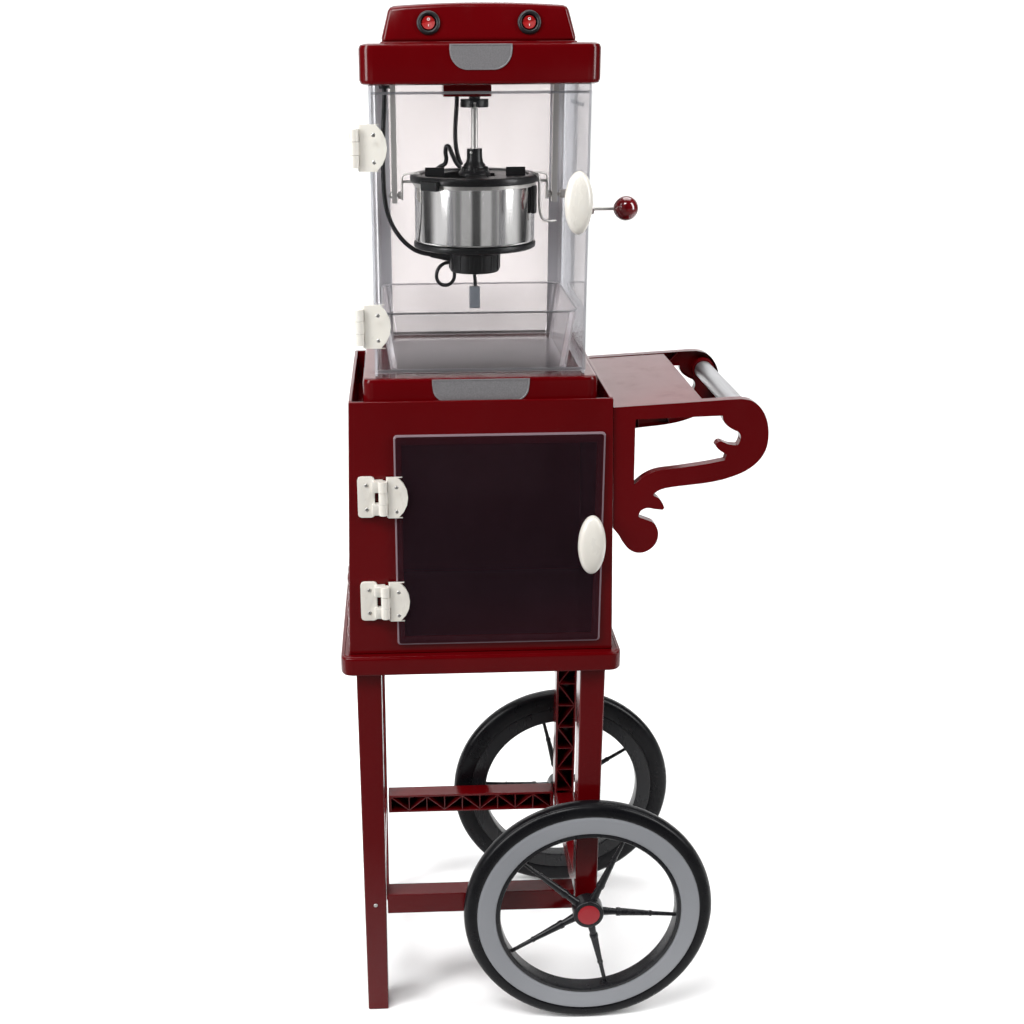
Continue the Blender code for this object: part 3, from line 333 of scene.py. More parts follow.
def build_finishes():
    """Every finish under a short name.  `ribs` is the shell's plastic where the tool leaves it
    duller, inside the channels."""
    steel_lines = (1.0, 1.0, 0.02)
    return {
        "crimson": moulded("crimson_gloss", (0.076, 0.0005, 0.0014), (0.090, 0.0008, 0.0020),
                           0.15, coat=0.06, wave_depth=0.008, shine=0.22),
        "ribs": moulded("crimson_ribs", (0.074, 0.0006, 0.0016), (0.090, 0.0009, 0.0022), 0.30),
        "ball": moulded("ball_red", (0.115, 0.002, 0.004), (0.140, 0.003, 0.006), 0.10, coat=0.8),
        "cap": moulded("cap_red", (0.250, 0.006, 0.012), (0.300, 0.009, 0.016), 0.32),
        "rocker": moulded("rocker_red", (0.230, 0.0025, 0.0030), (0.270, 0.0035, 0.0040), 0.38,
                          shine=0.25),
        "black": moulded("black_satin", (0.0065, 0.0065, 0.0075), (0.011, 0.011, 0.012), 0.32,
                         grain_depth=0.0012, wave_depth=0.006, shine=0.32),
        "rim": moulded("black_rim", (0.0060, 0.0060, 0.0072), (0.0095, 0.0095, 0.0110), 0.26,
                       grain_depth=0.0008, wave_depth=0.004, shine=0.30),
        "tyre": tyre_rubber(),
        "cord": cord_rubber(),
        "whitewall": moulded("whitewall_grey", (0.200, 0.206, 0.222), (0.232, 0.239, 0.256), 0.42,
                             grain_depth=0.0008, wave_depth=0.004),
        "ivory": ivory_plastic(),
        "grey": moulded("plug_grey", (0.21, 0.23, 0.26), (0.30, 0.32, 0.35), 0.45),
        "panel": panel_white(),
        "steel": polished_steel(),
        "arm": drawn_metal("arm_metal", (0.66, 0.645, 0.62), 0.34, steel_lines, 0.55),
        "bar": drawn_metal("bar_metal", (0.47, 0.47, 0.48), 0.34, (1.0, 0.02, 1.0)),
        "screw": drawn_metal("screw_metal", (0.55, 0.54, 0.52), 0.30, (1.0, 1.0, 1.0)),
        "badge": badge_metal(),
        "clear": see_through("clear_acrylic", (0.992, 0.992, 0.995), 0.995),
        "clear_edge": see_through("acrylic_edge", (0.80, 0.81, 0.84), 0.55, 0.12, mirror=0.3),
        "tray": see_through("tray_plastic", (0.992, 0.99, 0.991), 0.975, 0.08,
                            (0.95, 0.92, 0.94), 0.35),
        "tray_edge": see_through("tray_rim", (0.90, 0.89, 0.90), 0.60, 0.15, mirror=0.2),
        "smoke": see_through("smoked_acrylic", (0.93, 0.84, 0.88), 0.975, 0.05,
                             (0.30, 0.16, 0.22), 0.6),
        "smoke_edge": see_through("smoked_edge", (0.50, 0.38, 0.42), 0.55, 0.18,
                                  (0.42, 0.30, 0.34), 0.2),
        "mark": moulded("mark_white", (0.70, 0.68, 0.66), (0.76, 0.74, 0.72), 0.4),
        "post": moulded("post_grey", (0.66, 0.66, 0.69), (0.72, 0.72, 0.75), 0.35, coat=0.3,
                        wave_depth=0.002),
    }


finishes = build_finishes()


# ---------------------------------------------------------------- making pieces

def show(name, bm, finish, body, stands_for=(), sharp=32.0, soft=0.0, steps=2):
    """Turn a bmesh in the frame's own coordinates into a piece that rides on a CAD body.  Edges
    over `sharp` degrees stay edges, rounded by `soft` metres where that is given."""
    bmesh.ops.recalc_face_normals(bm, faces=bm.faces)
    mesh = bpy.data.meshes.new(name)
    bm.to_mesh(mesh)
    bm.free()
    piece = bpy.data.objects.new(name, mesh)
    bpy.context.scene.collection.objects.link(piece)
    for label in ((finish,) if isinstance(finish, str) else finish):
        mesh.materials.append(finishes[label])
    mesh.shade_smooth()
    mesh.set_sharp_from_angle(angle=radians(sharp))
    if soft:
        bevel = piece.modifiers.new("soft_edges", "BEVEL")
        bevel.width = soft
        bevel.segments = steps
        bevel.limit_method = "ANGLE"
        bevel.angle_limit = radians(sharp)
        bevel.harden_normals = True
    else:
        shading = piece.modifiers.new("even_shading", "WEIGHTED_NORMAL")
        shading.keep_sharp = True
    if body:
        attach(piece, body)
    if stands_for:
        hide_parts(*stands_for)
    return piece


def cad_copy(node):
    """The CAD piece's shape as one clean mesh, without the seams between its triangles."""
    bm = bmesh.new()
    bm.from_mesh(frame["nodes"][node].data)
    bmesh.ops.remove_doubles(bm, verts=bm.verts, dist=2e-6)
    bmesh.ops.dissolve_limit(bm, angle_limit=radians(0.6), verts=bm.verts, edges=bm.edges)
    return bm


def refined(node, finish, soft=0.0006, sharp=32.0, steps=2):
    """Show a CAD piece with rounded edges and smooth shading."""
    return show(node + "_moulded", cad_copy(node), finish, frame["nodes"][node]["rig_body"],
                [node], sharp, soft, steps)


# A turn for each axis that an outline is pushed along or a profile turned about.
AXES = {
    "x": Matrix(((0, 0, 1), (1, 0, 0), (0, 1, 0))),     # outline (y, z) pushed along x
    "y": Matrix(((1, 0, 0), (0, 0, 1), (0, 1, 0))),     # outline (x, z) pushed along y
    "z": Matrix(((1, 0, 0), (0, 1, 0), (0, 0, 1))),     # outline (x, y) pushed along z
}


def add_skin(bm, loops):
    """Close the first and the last loop of points and join each loop to the next."""
    faces = [bm.faces.new(loops[0]), bm.faces.new(loops[-1])]
    count = len(loops[0])
    for a, b in zip(loops, loops[1:]):
        for k in range(count):
            m = (k + 1) % count
            faces.append(bm.faces.new((a[k], a[m], b[m], b[k])))
    return faces


def add_prism(bm, outline, low, high, axis="z", shift=None):
    """Add a solid between an outline at `low` and one at `high`, in cart coordinates."""
    turn = AXES[axis]
    move = Vector((CART_X, 0.0, 0.0)) if shift is None else shift
    near, far = ([bm.verts.new(turn @ Vector((a, b, level)) + move) for a, b in outline]
                 for level in (low, high))
    return add_skin(bm, (near, far))


def add_turned(bm, profile, axis="z", centre=ORIGIN, segments=64, ring=False):
    """Turn (radius, height) points about an axis through a centre in the frame.  A ring's
    profile is closed; any other runs from the axis back to the axis."""
    turn = AXES[axis]
    angles = [2 * pi * k / segments for k in range(segments)]
    loops = []
    for radius, height in profile:
        points = [Vector((radius * cos(a), radius * sin(a), height))
                  for a in (angles if radius else angles[:1])]
        loops.append([bm.verts.new(centre + turn @ point) for point in points])
    pairs = list(zip(loops, loops[1:]))
    if ring:
        pairs.append((loops[-1], loops[0]))
    for a, b in pairs:
        for k in range(segments):
            m = (k + 1) % segments
            corners = [a[k % len(a)], a[m % len(a)], b[m % len(b)], b[k % len(b)]]
            bm.faces.new(list(dict.fromkeys(corners)))
    return [v for loop in loops for v in loop]


def rectangle(x_low, x_high, y_low, y_high):
    """Four corners, anticlockwise from the lower left."""
    return [(x_low, y_low), (x_high, y_low), (x_high, y_high), (x_low, y_high)]


def arc(centre, radius, start, end, steps):
    """Points on a circle from one angle to another, in degrees."""
    angles = [radians(start + (end - start) * k / steps) for k in range(steps + 1)]
    return [(centre[0] + radius * cos(a), centre[1] + radius * sin(a)) for a in angles]


def rounded_rectangle(x_low, x_high, y_low, y_high, radius, steps):
    """A rectangle with round corners, from its upper right corner anticlockwise."""
    inner = rectangle(x_low + radius, x_high - radius, y_low + radius, y_high - radius)
    points = []
    for quarter, corner in enumerate((inner[2], inner[3], inner[0], inner[1])):
        points += arc(corner, radius, 90 * quarter, 90 * quarter + 90, steps)
    return points


def add_bead(bm, points, z, radius, sides):
    """A thin round bead that follows a closed outline at one height."""
    route = [at(x, y, z) for x, y in points]
    add_tube(bm, [*route, route[0]], radius, sides)


def placed(verts, turn, spot):
    """Turn the points about the origin, then carry them to a place."""
    for vert in verts:
        vert.co = turn @ vert.co + spot


def smooth_route(points, steps=8):
    """Points on a Catmull-Rom curve through the given points."""
    points = [Vector(p) for p in points]
    padded = [2 * points[0] - points[1], *points, 2 * points[-1] - points[-2]]
    route = []
    for a, b, c, d in zip(padded, padded[1:], padded[2:], padded[3:]):
        for step in range(steps):
            t = step / steps
            route.append(0.5 * (2 * b + (c - a) * t + (2 * a - 5 * b + 4 * c - d) * t * t
                                + (3 * b - a - 3 * c + d) * t ** 3))
    return route + [points[-1]]


def add_tube(bm, route, radius, sides=16):
    """A round tube with flat ends along a route.  `radius` is one size or one per point."""
    radii = radius if isinstance(radius, (list, tuple)) else [radius] * len(route)
    side = Vector((0.31, 0.95, 0.12))
    loops = []
    for i, spot in enumerate(route):
        ahead = (route[min(i + 1, len(route) - 1)] - route[max(i - 1, 0)]).normalized()
        side = (side - ahead * side.dot(ahead)).normalized()
        up = ahead.cross(side)
        loops.append([bm.verts.new(spot + radii[i] * (side * cos(2 * pi * k / sides)
                                                      + up * sin(2 * pi * k / sides)))
                      for k in range(sides)])
    add_skin(bm, loops)


# ---------------------------------------------------------------- cords

def flex(name, points, diameter, body=None, stands_for=()):
    """One cord through the points: a round tube along their smooth centreline."""
    route = smooth_route([at(*p) for p in points], 8)
    bm = bmesh.new()
    add_tube(bm, route, diameter / 2.0, 20)
    piece = show(name, bm, "cord", body, stands_for, sharp=60.0)
    length = sum((q - p).length for p, q in zip(route, route[1:]))
    return piece


KETTLE_CORD = [(-0.0985, 0.000, 1.1188), (-0.0986, 0.000, 1.1040), (-0.1000, -0.001, 1.0800),
               (-0.1015, -0.002, 1.0500), (-0.1018, -0.002, 1.0200), (-0.1005, -0.002, 0.9930),
               (-0.0960, -0.002, 0.9730), (-0.0880, -0.002, 0.9570), (-0.0770, -0.002, 0.9440),
               (-0.0640, -0.002, 0.9355), (-0.0480, -0.001, 0.9318), (-0.0305, 0.000, 0.9310)]
KETTLE_LEAD = [(-0.0292, -0.010, 0.9240), (-0.0350, -0.0115, 0.9232), (-0.0408, -0.013, 0.9190),
               (-0.0438, -0.013, 0.9115), (-0.0425, -0.012, 0.9035), (-0.0365, -0.010, 0.8985),
               (-0.0290, -0.007, 0.8990), (-0.0240, -0.005, 0.9045), (-0.0232, -0.004, 0.9121)]
LID_LEAD = [(-0.0195, -0.004, 1.1035), (-0.0200, -0.004, 1.0900), (-0.0212, -0.005, 1.0750),
            (-0.0215, -0.006, 1.0600), (-0.0205, -0.007, 1.0480), (-0.0180, -0.008, 1.0380),
            (-0.0150, -0.008, 1.0310)]
LID_LOOP = [(-0.0165, -0.010, 1.0285), (-0.0215, -0.012, 1.0350), (-0.0262, -0.012, 1.0450),
            (-0.0290, -0.011, 1.0510), (-0.0318, -0.009, 1.0505), (-0.0325, -0.007, 1.0445),
            (-0.0315, -0.005, 1.0380), (-0.0330, -0.003, 1.0320), (-0.0380, -0.001, 1.0290),
            (-0.0425, 0.001, 1.0255)]
PROBE_LEAD = [(0.0, 0.0, 0.9121), (0.0, 0.0, 0.9070), (0.0005, 0.0, 0.9020),
              (0.0008, 0.0, 0.8953)]


def cords():
    """The two cords from the canopy and the probe's stub ride on no body; the two loops ride on the
    kettle."""
    supply = flex("kettle_supply_cord", KETTLE_CORD, 0.005,
                  stands_for=["kettle_cord"])
    at(-0.100, 0.0, 1.050)
    at(-0.045, 0.0, 0.932)
    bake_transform(supply)
    flex("housing_lead_loop", KETTLE_LEAD, 0.004, "kettle", ["kettle_lead"])
    lid_lead = flex("lid_lead", LID_LEAD, 0.0048)
    at(-0.0195, 0.0, 1.100)
    at(-0.0150, 0.0, 1.034)
    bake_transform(lid_lead)
    flex("lid_lead_loop", LID_LOOP, 0.0048, "kettle")
    bm = bmesh.new()
    add_tube(bm, smooth_route([at(*p) for p in PROBE_LEAD], 8), 0.002, 16)
    stub = show("probe_stub_lead", bm, "cord", None, ["probe_lead"], sharp=60.0)
    at(0.0, 0.0, 0.9121)
    at(0.0, 0.0, 0.9030)
    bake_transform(stub)


cords()


# ---------------------------------------------------------------- cart frame

LEG_TOP, LEG_FOOT = 0.029, 0.0255       # thickness under the deck and on the floor
LEG_WALL = 0.003
RIB = 0.0011                            # thickness of a rib
LEG_BAY, BRACE_BAY = 0.033, 0.026       # about how far apart the ribs stand


def add_rib(bm, corners):
    """A thin plate given by eight corners: four on one end and the four facing them."""
    verts = [bm.verts.new(c) for c in corners]
    for face in ((0, 1, 2, 3), (4, 5, 6, 7), (0, 1, 5, 4), (1, 2, 6, 5), (2, 3, 7, 6),
                 (3, 0, 4, 7)):
        bm.faces.new([verts[i] for i in face])
    return verts


def leg_thickness(z, top):
    """A leg's outside thickness at a height; it tapers from under the deck to its foot."""
    return LEG_TOP - (LEG_TOP - LEG_FOOT) * (top - z) / top


def leg_ribs(node):
    """Cross ribs and zigzag webs inside a leg's open channel."""
    low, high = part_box(node)
    middle = (low + high) / 2.0
    inward = 1.0 if middle.y < 0.0 else -1.0
    bm = bmesh.new()
    start, length = low.z + 0.006, high.z - low.z - 0.012
    bays = max(3, round(length / LEG_BAY))
    levels = [start + length * k / bays for k in range(bays + 1)]

    def half(z):
        return leg_thickness(z, high.z) / 2.0 - LEG_WALL

    def plate(z_a, side_a, z_b, side_b, across):
        """A web from one place on the channel's width to another, as deep as the channel."""
        corners = []
        for depth in (-inward, inward * 0.98):
            for z, side, push in ((z_a, side_a, -1), (z_b, side_b, -1), (z_b, side_b, 1),
                                  (z_a, side_a, 1)):
                wide = half(z)
                x = middle.x + side * wide + across[0] * push * RIB / 2
                y = middle.y + depth * (wide + (0.0 if depth * inward < 0 else LEG_WALL))
                corners.append(Vector((x, y, z + across[1] * push * RIB / 2)))
        add_rib(bm, corners)

    for level in levels[1:-1]:
        plate(level, -1, level, 1, (0, 1))
    for k, (a, b) in enumerate(zip(levels, levels[1:])):
        side = 1 if k % 2 else -1
        plate(a + RIB, side, b - RIB, -side, (0.8, 0.6 * side))
    return show(node + "_ribs", bm, "ribs", "cart")


def brace_ribs(node):
    """Zigzag webs in a brace's open face, which looks towards the middle of the cart."""
    low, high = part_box(node)
    inward = 1.0 if low.y < 0 else -1.0
    face, back = (high.y, low.y + LEG_WALL) if inward > 0 else (low.y, high.y - LEG_WALL)
    bottom, top = low.z + LEG_WALL, high.z - LEG_WALL
    start, end = low.x + 0.004, high.x - 0.004
    bays = round((end - start) / BRACE_BAY)
    edges = [start + (end - start) * k / bays for k in range(bays + 1)]
    bm = bmesh.new()
    depths = (back, face - inward * 0.0003)
    for x in edges[1:-1]:
        add_rib(bm, [Vector((x + dx * RIB / 2, y, z)) for y in depths
                     for dx, z in ((-1, bottom), (1, bottom), (1, top), (-1, top))])
    for k, (a, b) in enumerate(zip(edges, edges[1:])):
        z_a, z_b = (bottom, top) if k % 2 else (top, bottom)
        lift = Vector((0, 0, RIB * 0.6))
        add_rib(bm, [Vector((x, y, z)) + side * lift for y in depths
                     for x, z, side in ((a, z_a, -1), (b, z_b, -1), (b, z_b, 1), (a, z_a, 1))])
    return show(node + "_ribs", bm, "ribs", "cart")


def screw_head(bm, spot, outward, radius, height):
    """A low domed head with a raised cross."""
    profile = [(0.0, 0.0), (radius, 0.0), (radius * 0.98, height * 0.45),
               (radius * 0.78, height * 0.86), (radius * 0.45, height), (0.0, height)]
    verts = add_turned(bm, profile, segments=20)
    wing = radius * 0.55
    for angle in (0.3, 0.3 + pi / 2):
        along = Vector((cos(angle), sin(angle), 0.0))
        wide = Vector((-sin(angle), cos(angle), 0.0)) * radius * 0.09
        corners = [along * s * wing + wide * w + Vector((0, 0, z))
                   for z in (height * 0.7, height * 1.04)
                   for s, w in ((-1, -1), (1, -1), (1, 1), (-1, 1))]
        verts += add_rib(bm, corners)
    turn = Vector((0, 0, 1)).rotation_difference(Vector(outward)).to_matrix()
    placed(verts, turn, Vector(spot))


def screws(name, places, outward, body, radius=0.0022, height=0.0010):
    """Equal screw heads at the given places, as one piece."""
    bm = bmesh.new()
    for spot in places:
        screw_head(bm, spot, outward, radius, height)
    return show(name, bm, "screw", body, sharp=50.0)


def cart_frame():
    """Four ribbed legs, four braces, the deck and the axle."""
    for side in ("left", "right"):
        for end in ("front", "back"):
            refined(f"leg_{end}_{side}", "crimson", 0.0008)
            leg_ribs(f"leg_{end}_{side}")
        refined("brace_" + side, "crimson", 0.0008)
    for end in ("front", "back"):
        refined("brace_" + end, "crimson", 0.0008)
        brace_ribs("brace_" + end)
    refined("cart_deck", "crimson", 0.0)
    refined("axle", "screw", 0.0006)
    brace_low, brace_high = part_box("brace_front")
    z = (brace_low.z + brace_high.z) / 2.0
    for end, outward in (("front", -1), ("back", 1)):
        low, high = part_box(f"leg_{end}_left")
        middle = (low + high) / 2.0
        screws("leg_bolt_" + end, [(middle.x, middle.y + outward * leg_thickness(z, high.z) / 2, z)],
               (0, outward, 0), "cart", 0.0024, 0.0014)


# ---------------------------------------------------------------- wheels

RIM_R = 0.1076
RING_LOW_R, RING_HIGH_R = 0.1133, 0.1364        # the whitewall's edges
HUB_R, CAP_R = 0.0187, 0.0134
SPOKE_START = {"front": -5.0, "back": 32.0}     # where the first spoke stands, in degrees


def wheel(end):
    """One casting of rim, hub and five turned-looking spokes, with tyre, whitewall and cap."""
    low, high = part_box("tyre_" + end)
    centre = (low + high) / 2.0
    out = 1.0 if end == "back" else -1.0
    body = f"wheel_{end}_body"

    def section(outer, inner=()):
        """A profile from its outer and its inner side, each from small to large radius."""
        return [(r, out * h) for r, h in outer] + [(r, -out * h) for r, h in reversed(inner)]

    bm = bmesh.new()
    outer = [(RIM_R, 0.0060), (RIM_R + 0.0006, 0.0092), (RIM_R + 0.0020, 0.0104),
             (RING_LOW_R - 0.0012, 0.0104), (RING_LOW_R - 0.0003, 0.0098), (RING_LOW_R, 0.0088),
             (0.1277, 0.0088)]
    inner = [(RIM_R, 0.0060), (RIM_R + 0.0006, 0.0086), (RIM_R + 0.0018, 0.0095),
             (0.1262, 0.0095), (0.1277, 0.0088)]
    add_turned(bm, section(outer, inner), "y", centre, 144, ring=True)
    hub = [(0.0, -0.0100), (HUB_R - 0.0020, -0.0100), (HUB_R - 0.0004, -0.0092),
           (HUB_R, -0.0078), (HUB_R, 0.0082), (HUB_R - 0.0006, 0.0098), (HUB_R - 0.0018, 0.0106),
           (CAP_R + 0.0006, 0.0106), (CAP_R + 0.0003, 0.0098), (0.0, 0.0098)]
    add_turned(bm, section(hub), "y", centre, 64)
    spoke = [(0.0, 0.0150), (0.0056, 0.0150), (0.0052, 0.0190), (0.0040, 0.0330),
             (0.0040, 0.0348), (0.0050, 0.0352), (0.0053, 0.0364), (0.0053, 0.0392),
             (0.0050, 0.0404), (0.0047, 0.0408), (0.0031, 0.0764), (0.0036, 0.0768),
             (0.0036, 0.0790), (0.0027, 0.0796), (0.0023, 0.1085), (0.0, 0.1085)]
    for number in range(5):
        angle = radians(SPOKE_START[end] + 72.0 * number)
        turn = Matrix.Rotation(-angle, 3, "Y")
        flatten = Matrix.Diagonal((1.0, 0.92, 1.0))
        placed(add_turned(bm, spoke, "x", segments=20), turn @ flatten, centre)
    show(f"wheel_{end}_casting", bm, "rim", body, ["wheel_" + end], sharp=38.0)

    bm = bmesh.new()
    tread = [(0.1281, 0.0086), (RING_HIGH_R - 0.0002, 0.0090), (RING_HIGH_R + 0.0006, 0.0101),
             (RING_HIGH_R + 0.0024, 0.0107), (0.1420, 0.0109), (0.1455, 0.0106), (0.1484, 0.0094),
             (0.1502, 0.0076), (0.1508, 0.0062), (0.1505, 0.0058), (0.1510, 0.0053),
             (0.1519, 0.0036), (WHEEL_R, 0.0012)]
    back = [(0.1281, 0.0090), (0.1320, 0.0104), (0.1380, 0.0109), (0.1440, 0.0108),
            (0.1476, 0.0098), (0.1502, 0.0076), (0.1508, 0.0062), (0.1505, 0.0058),
            (0.1510, 0.0053), (0.1519, 0.0036), (WHEEL_R, 0.0012)]
    add_turned(bm, section(tread, back), "y", centre, 160, ring=True)
    show(f"tyre_{end}_tread", bm, "tyre", body, ["tyre_" + end], sharp=42.0)

    bm = bmesh.new()
    ring = [(RING_LOW_R + 0.0001, 0.0070), (RING_LOW_R + 0.0002, 0.0092),
            (RING_LOW_R + 0.0012, 0.0099), (0.1190, 0.0102), (0.1310, 0.0102),
            (RING_HIGH_R - 0.0012, 0.0099), (RING_HIGH_R, 0.0093), (RING_HIGH_R, 0.0070)]
    add_turned(bm, section(ring), "y", centre, 144, ring=True)
    show(f"whitewall_{end}", bm, "whitewall", body, sharp=50.0)

    bm = bmesh.new()
    cap = [(0.0, 0.0095), (CAP_R, 0.0095), (CAP_R, 0.0104), (CAP_R - 0.0008, 0.0109),
           (0.0090, 0.0110), (0.0, 0.0111)]
    add_turned(bm, section(cap), "y", centre, 48)
    show(f"hub_cap_{end}", bm, "cap", body, sharp=50.0)


# ---------------------------------------------------------------- cabinet

WALL_LEAN = 0.0078       # how far a side wall leans inward from its foot to its top
RIGHT_FOOT = 0.1515      # the right wall's foot, from the middle of the cart


def lean_at(z):
    """How far a side wall has leaned inward at a height."""
    return WALL_LEAN * (z - CABINET_LOW.z) / (CABINET_HIGH.z - CABINET_LOW.z)


def cabinet():
    """Leaning walls, frame and floor, with the smoked door and the trim."""
    for node, soft in (("cabinet_body", 0.0012), ("cabinet_front", 0.0016),
                       ("recess_floor", 0.0008)):
        refined(node, "crimson", soft, steps=3)
    smoked_door()
    cabinet_relief()
    cabinet_seal()
    deck_lip()


def smoked_door():
    """Smoked panel whose chamfered border catches the light."""
    bm = bmesh.new()
    low, high = DOOR_LOW, DOOR_HIGH
    chamfer, corner = 0.0017, 0.0040

    def outline(inset, y):
        radius = max(corner - inset * 0.5, 0.0015)
        points = rounded_rectangle(low.x + inset, high.x - inset, low.z + inset, high.z - inset,
                                   radius, 5)
        return [bm.verts.new((x, y, z)) for x, z in points]

    loops = [outline(0.0, high.y), outline(0.0, low.y + 0.0012), outline(0.0004, low.y + 0.0006),
             outline(chamfer, low.y + 0.0001), outline(chamfer + 0.0003, low.y)]
    for face in add_skin(bm, loops)[2:]:
        face.material_index = 1
    show("smoked_door_panel", bm, ("smoke", "smoke_edge"), "cabinet_door_body",
         ["cabinet_door"], sharp=50.0)


def cabinet_relief():
    """Staggered rows of raised round scales low on the cabinet's left side."""
    bm = bmesh.new()
    columns, rows, pitch, rise = 9, 5, 0.025, 0.0165
    scale = [(0.0, -0.0010), (0.0078, -0.0010), (0.0074, 0.0014), (0.0052, 0.0026), (0.0, 0.0032)]
    slope = atan2(WALL_LEAN, CABINET_HIGH.z - CABINET_LOW.z)
    outward = Matrix.Rotation(-slope, 3, "Y") @ Matrix.Diagonal((-1.0, 1.0, 1.0))
    for column in range(columns):
        for row in range(rows):
            y = -0.100 + pitch * column + (pitch / 2 if row % 2 else 0.0)
            z = CABINET_LOW.z + 0.016 + rise * row
            if abs(y) > 0.108:
                continue
            placed(add_turned(bm, scale, "x", segments=20), outward,
                   Vector((CABINET_LOW.x + lean_at(z), y, z)))
    show("cabinet_left_relief", bm, "crimson", "cart", sharp=40.0)


def cabinet_seal():
    """The seal that closes the joint between the deck and the cabinet's walls."""
    half_x, half_y, wide, tall = 0.1472, 0.1261, 0.0016, 0.0024
    z = DECK_HIGH.z + 0.0001
    bm = bmesh.new()
    for outline in (rectangle(-half_x, half_x, half_y - wide, half_y),
                    rectangle(-half_x, -half_x + wide, -half_y, half_y),
                    rectangle(half_x - wide, half_x, -half_y, half_y)):
        add_prism(bm, outline, z, z + tall)
    show("cabinet_seal", bm, "crimson", "cart")


def deck_lip():
    """A narrow raised line round the deck's top, just outside the cabinet."""
    half_x, half_y = (DECK_HIGH.x - DECK_LOW.x) / 2 - 0.0042, DECK_HIGH.y - 0.0042
    bm = bmesh.new()
    add_bead(bm, rounded_rectangle(-half_x, half_x, -half_y, half_y, 0.011, 6),
             DECK_HIGH.z - 0.0003, 0.0009, 8)
    show("deck_lip", bm, "crimson", "cart", sharp=60.0)


def pull(name, node, body):
    """Oval pull with a shallow crown and a rolled rim."""
    low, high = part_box(node)
    centre, half = (low + high) / 2.0, (high - low) / 2.0
    bm = bmesh.new()
    rings = [(0.94, 0.0), (0.985, 0.0006), (1.0, 0.0020), (1.0, 0.0036), (0.985, 0.0056),
             (0.950, 0.0076), (0.88, 0.0094), (0.76, 0.0110), (0.58, 0.0123), (0.34, 0.0131),
             (0.12, 0.0135)]
    steps = 56
    loops = [[bm.verts.new((centre.x + half.x * s * cos(2 * pi * k / steps), high.y - d,
                            centre.z + half.z * s * sin(2 * pi * k / steps)))
              for k in range(steps)] for s, d in rings]
    add_skin(bm, loops)
    show(name, bm, "ivory", body, [node], sharp=60.0)


LEAF_FACE_Y = -0.1347       # front face of the cabinet's fixed leaves


def leaf_screws(name, x, y, middle, reach, outward, body):
    """Two screws, one above and one below the middle of a hinge leaf."""
    screws(name, [(x, y, middle - reach), (x, y, middle + reach)], outward, body)


def hinges():
    """Four ivory hinges with their screws; the pins are one with the fixed leaves."""
    forward, aside = (0, -1, 0), (-1, 0, 0)
    for place in ("upper", "lower"):
        for node in ("cabinet_leaf_", "cabinet_door_leaf_", "case_leaf_", "case_door_leaf_"):
            refined(node + place, "ivory", 0.0007, 40.0, 2)
        low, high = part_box("cabinet_door_leaf_" + place)
        fixed_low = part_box("cabinet_leaf_" + place)[0]
        middle = (low.z + high.z) / 2.0
        leaf_screws("cabinet_door_screws_" + place, high.x - 0.0125, low.y, middle, 0.0140,
                    forward, "cabinet_door_body")
        leaf_screws("cabinet_leaf_screws_" + place, fixed_low.x + 0.0098, LEAF_FACE_Y, middle,
                    0.0140, forward, "cart")
        low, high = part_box("case_door_leaf_" + place)
        middle = (low.z + high.z) / 2.0
        leaf_screws("case_door_screws_" + place, high.x - 0.0135, low.y, middle, 0.0135,
                    forward, "case_door_body")
        leaf_screws("case_leaf_screws_" + place, CASE_LOW.x - 0.0038, -0.0960, middle, 0.0130,
                    aside, "machine")


# ---------------------------------------------------------------- side shelf

def wall_x(z):
    """The right wall's outside at a height, with a hair's gap."""
    return RIGHT_FOOT - lean_at(z) + 0.0006


def curve_between(points, steps=6):
    """A smooth stretch through the points, as plain (x, z) pairs."""
    return [(p.x, p.y) for p in smooth_route([Vector((*p, 0.0)) for p in points], steps)]


def scroll_outline():
    """The bracket's outline, clockwise from its top inner corner: straight top, round nose,
    sweep back, a leaf with a notch and a round foot."""
    top = [(wall_x(0.7828), 0.7828), (0.2760, 0.7898)]
    nose = curve_between([(0.2860, 0.7900), (0.2970, 0.7874), (0.3066, 0.7796), (0.3136, 0.7675),
                          (0.3170, 0.7520), (0.3162, 0.7350), (0.3096, 0.7210),
                          (0.2965, 0.7090), (0.2760, 0.7000), (0.2510, 0.6945),
                          (0.2140, 0.6905), (0.1995, 0.6872), (0.1928, 0.6826)])
    leaf = curve_between([(0.1926, 0.6806), (0.1985, 0.6775), (0.2030, 0.6715),
                          (0.2053, 0.6662)], 4)
    under = curve_between([(0.2036, 0.6637), (0.1945, 0.6648), (0.1860, 0.6662),
                           (0.1793, 0.6632), (0.1767, 0.6572), (0.1790, 0.6548)], 4)
    foot = curve_between([(0.1868, 0.6518), (0.1938, 0.6485), (0.1980, 0.6425),
                          (0.1998, 0.6335), (0.1975, 0.6240), (0.1915, 0.6170),
                          (0.1830, 0.6130), (0.1740, 0.6135), (0.1660, 0.6185),
                          (0.1590, 0.6275), (0.1550, 0.6345), (wall_x(0.6430), 0.6430)], 5)
    return top + nose + leaf + under + foot


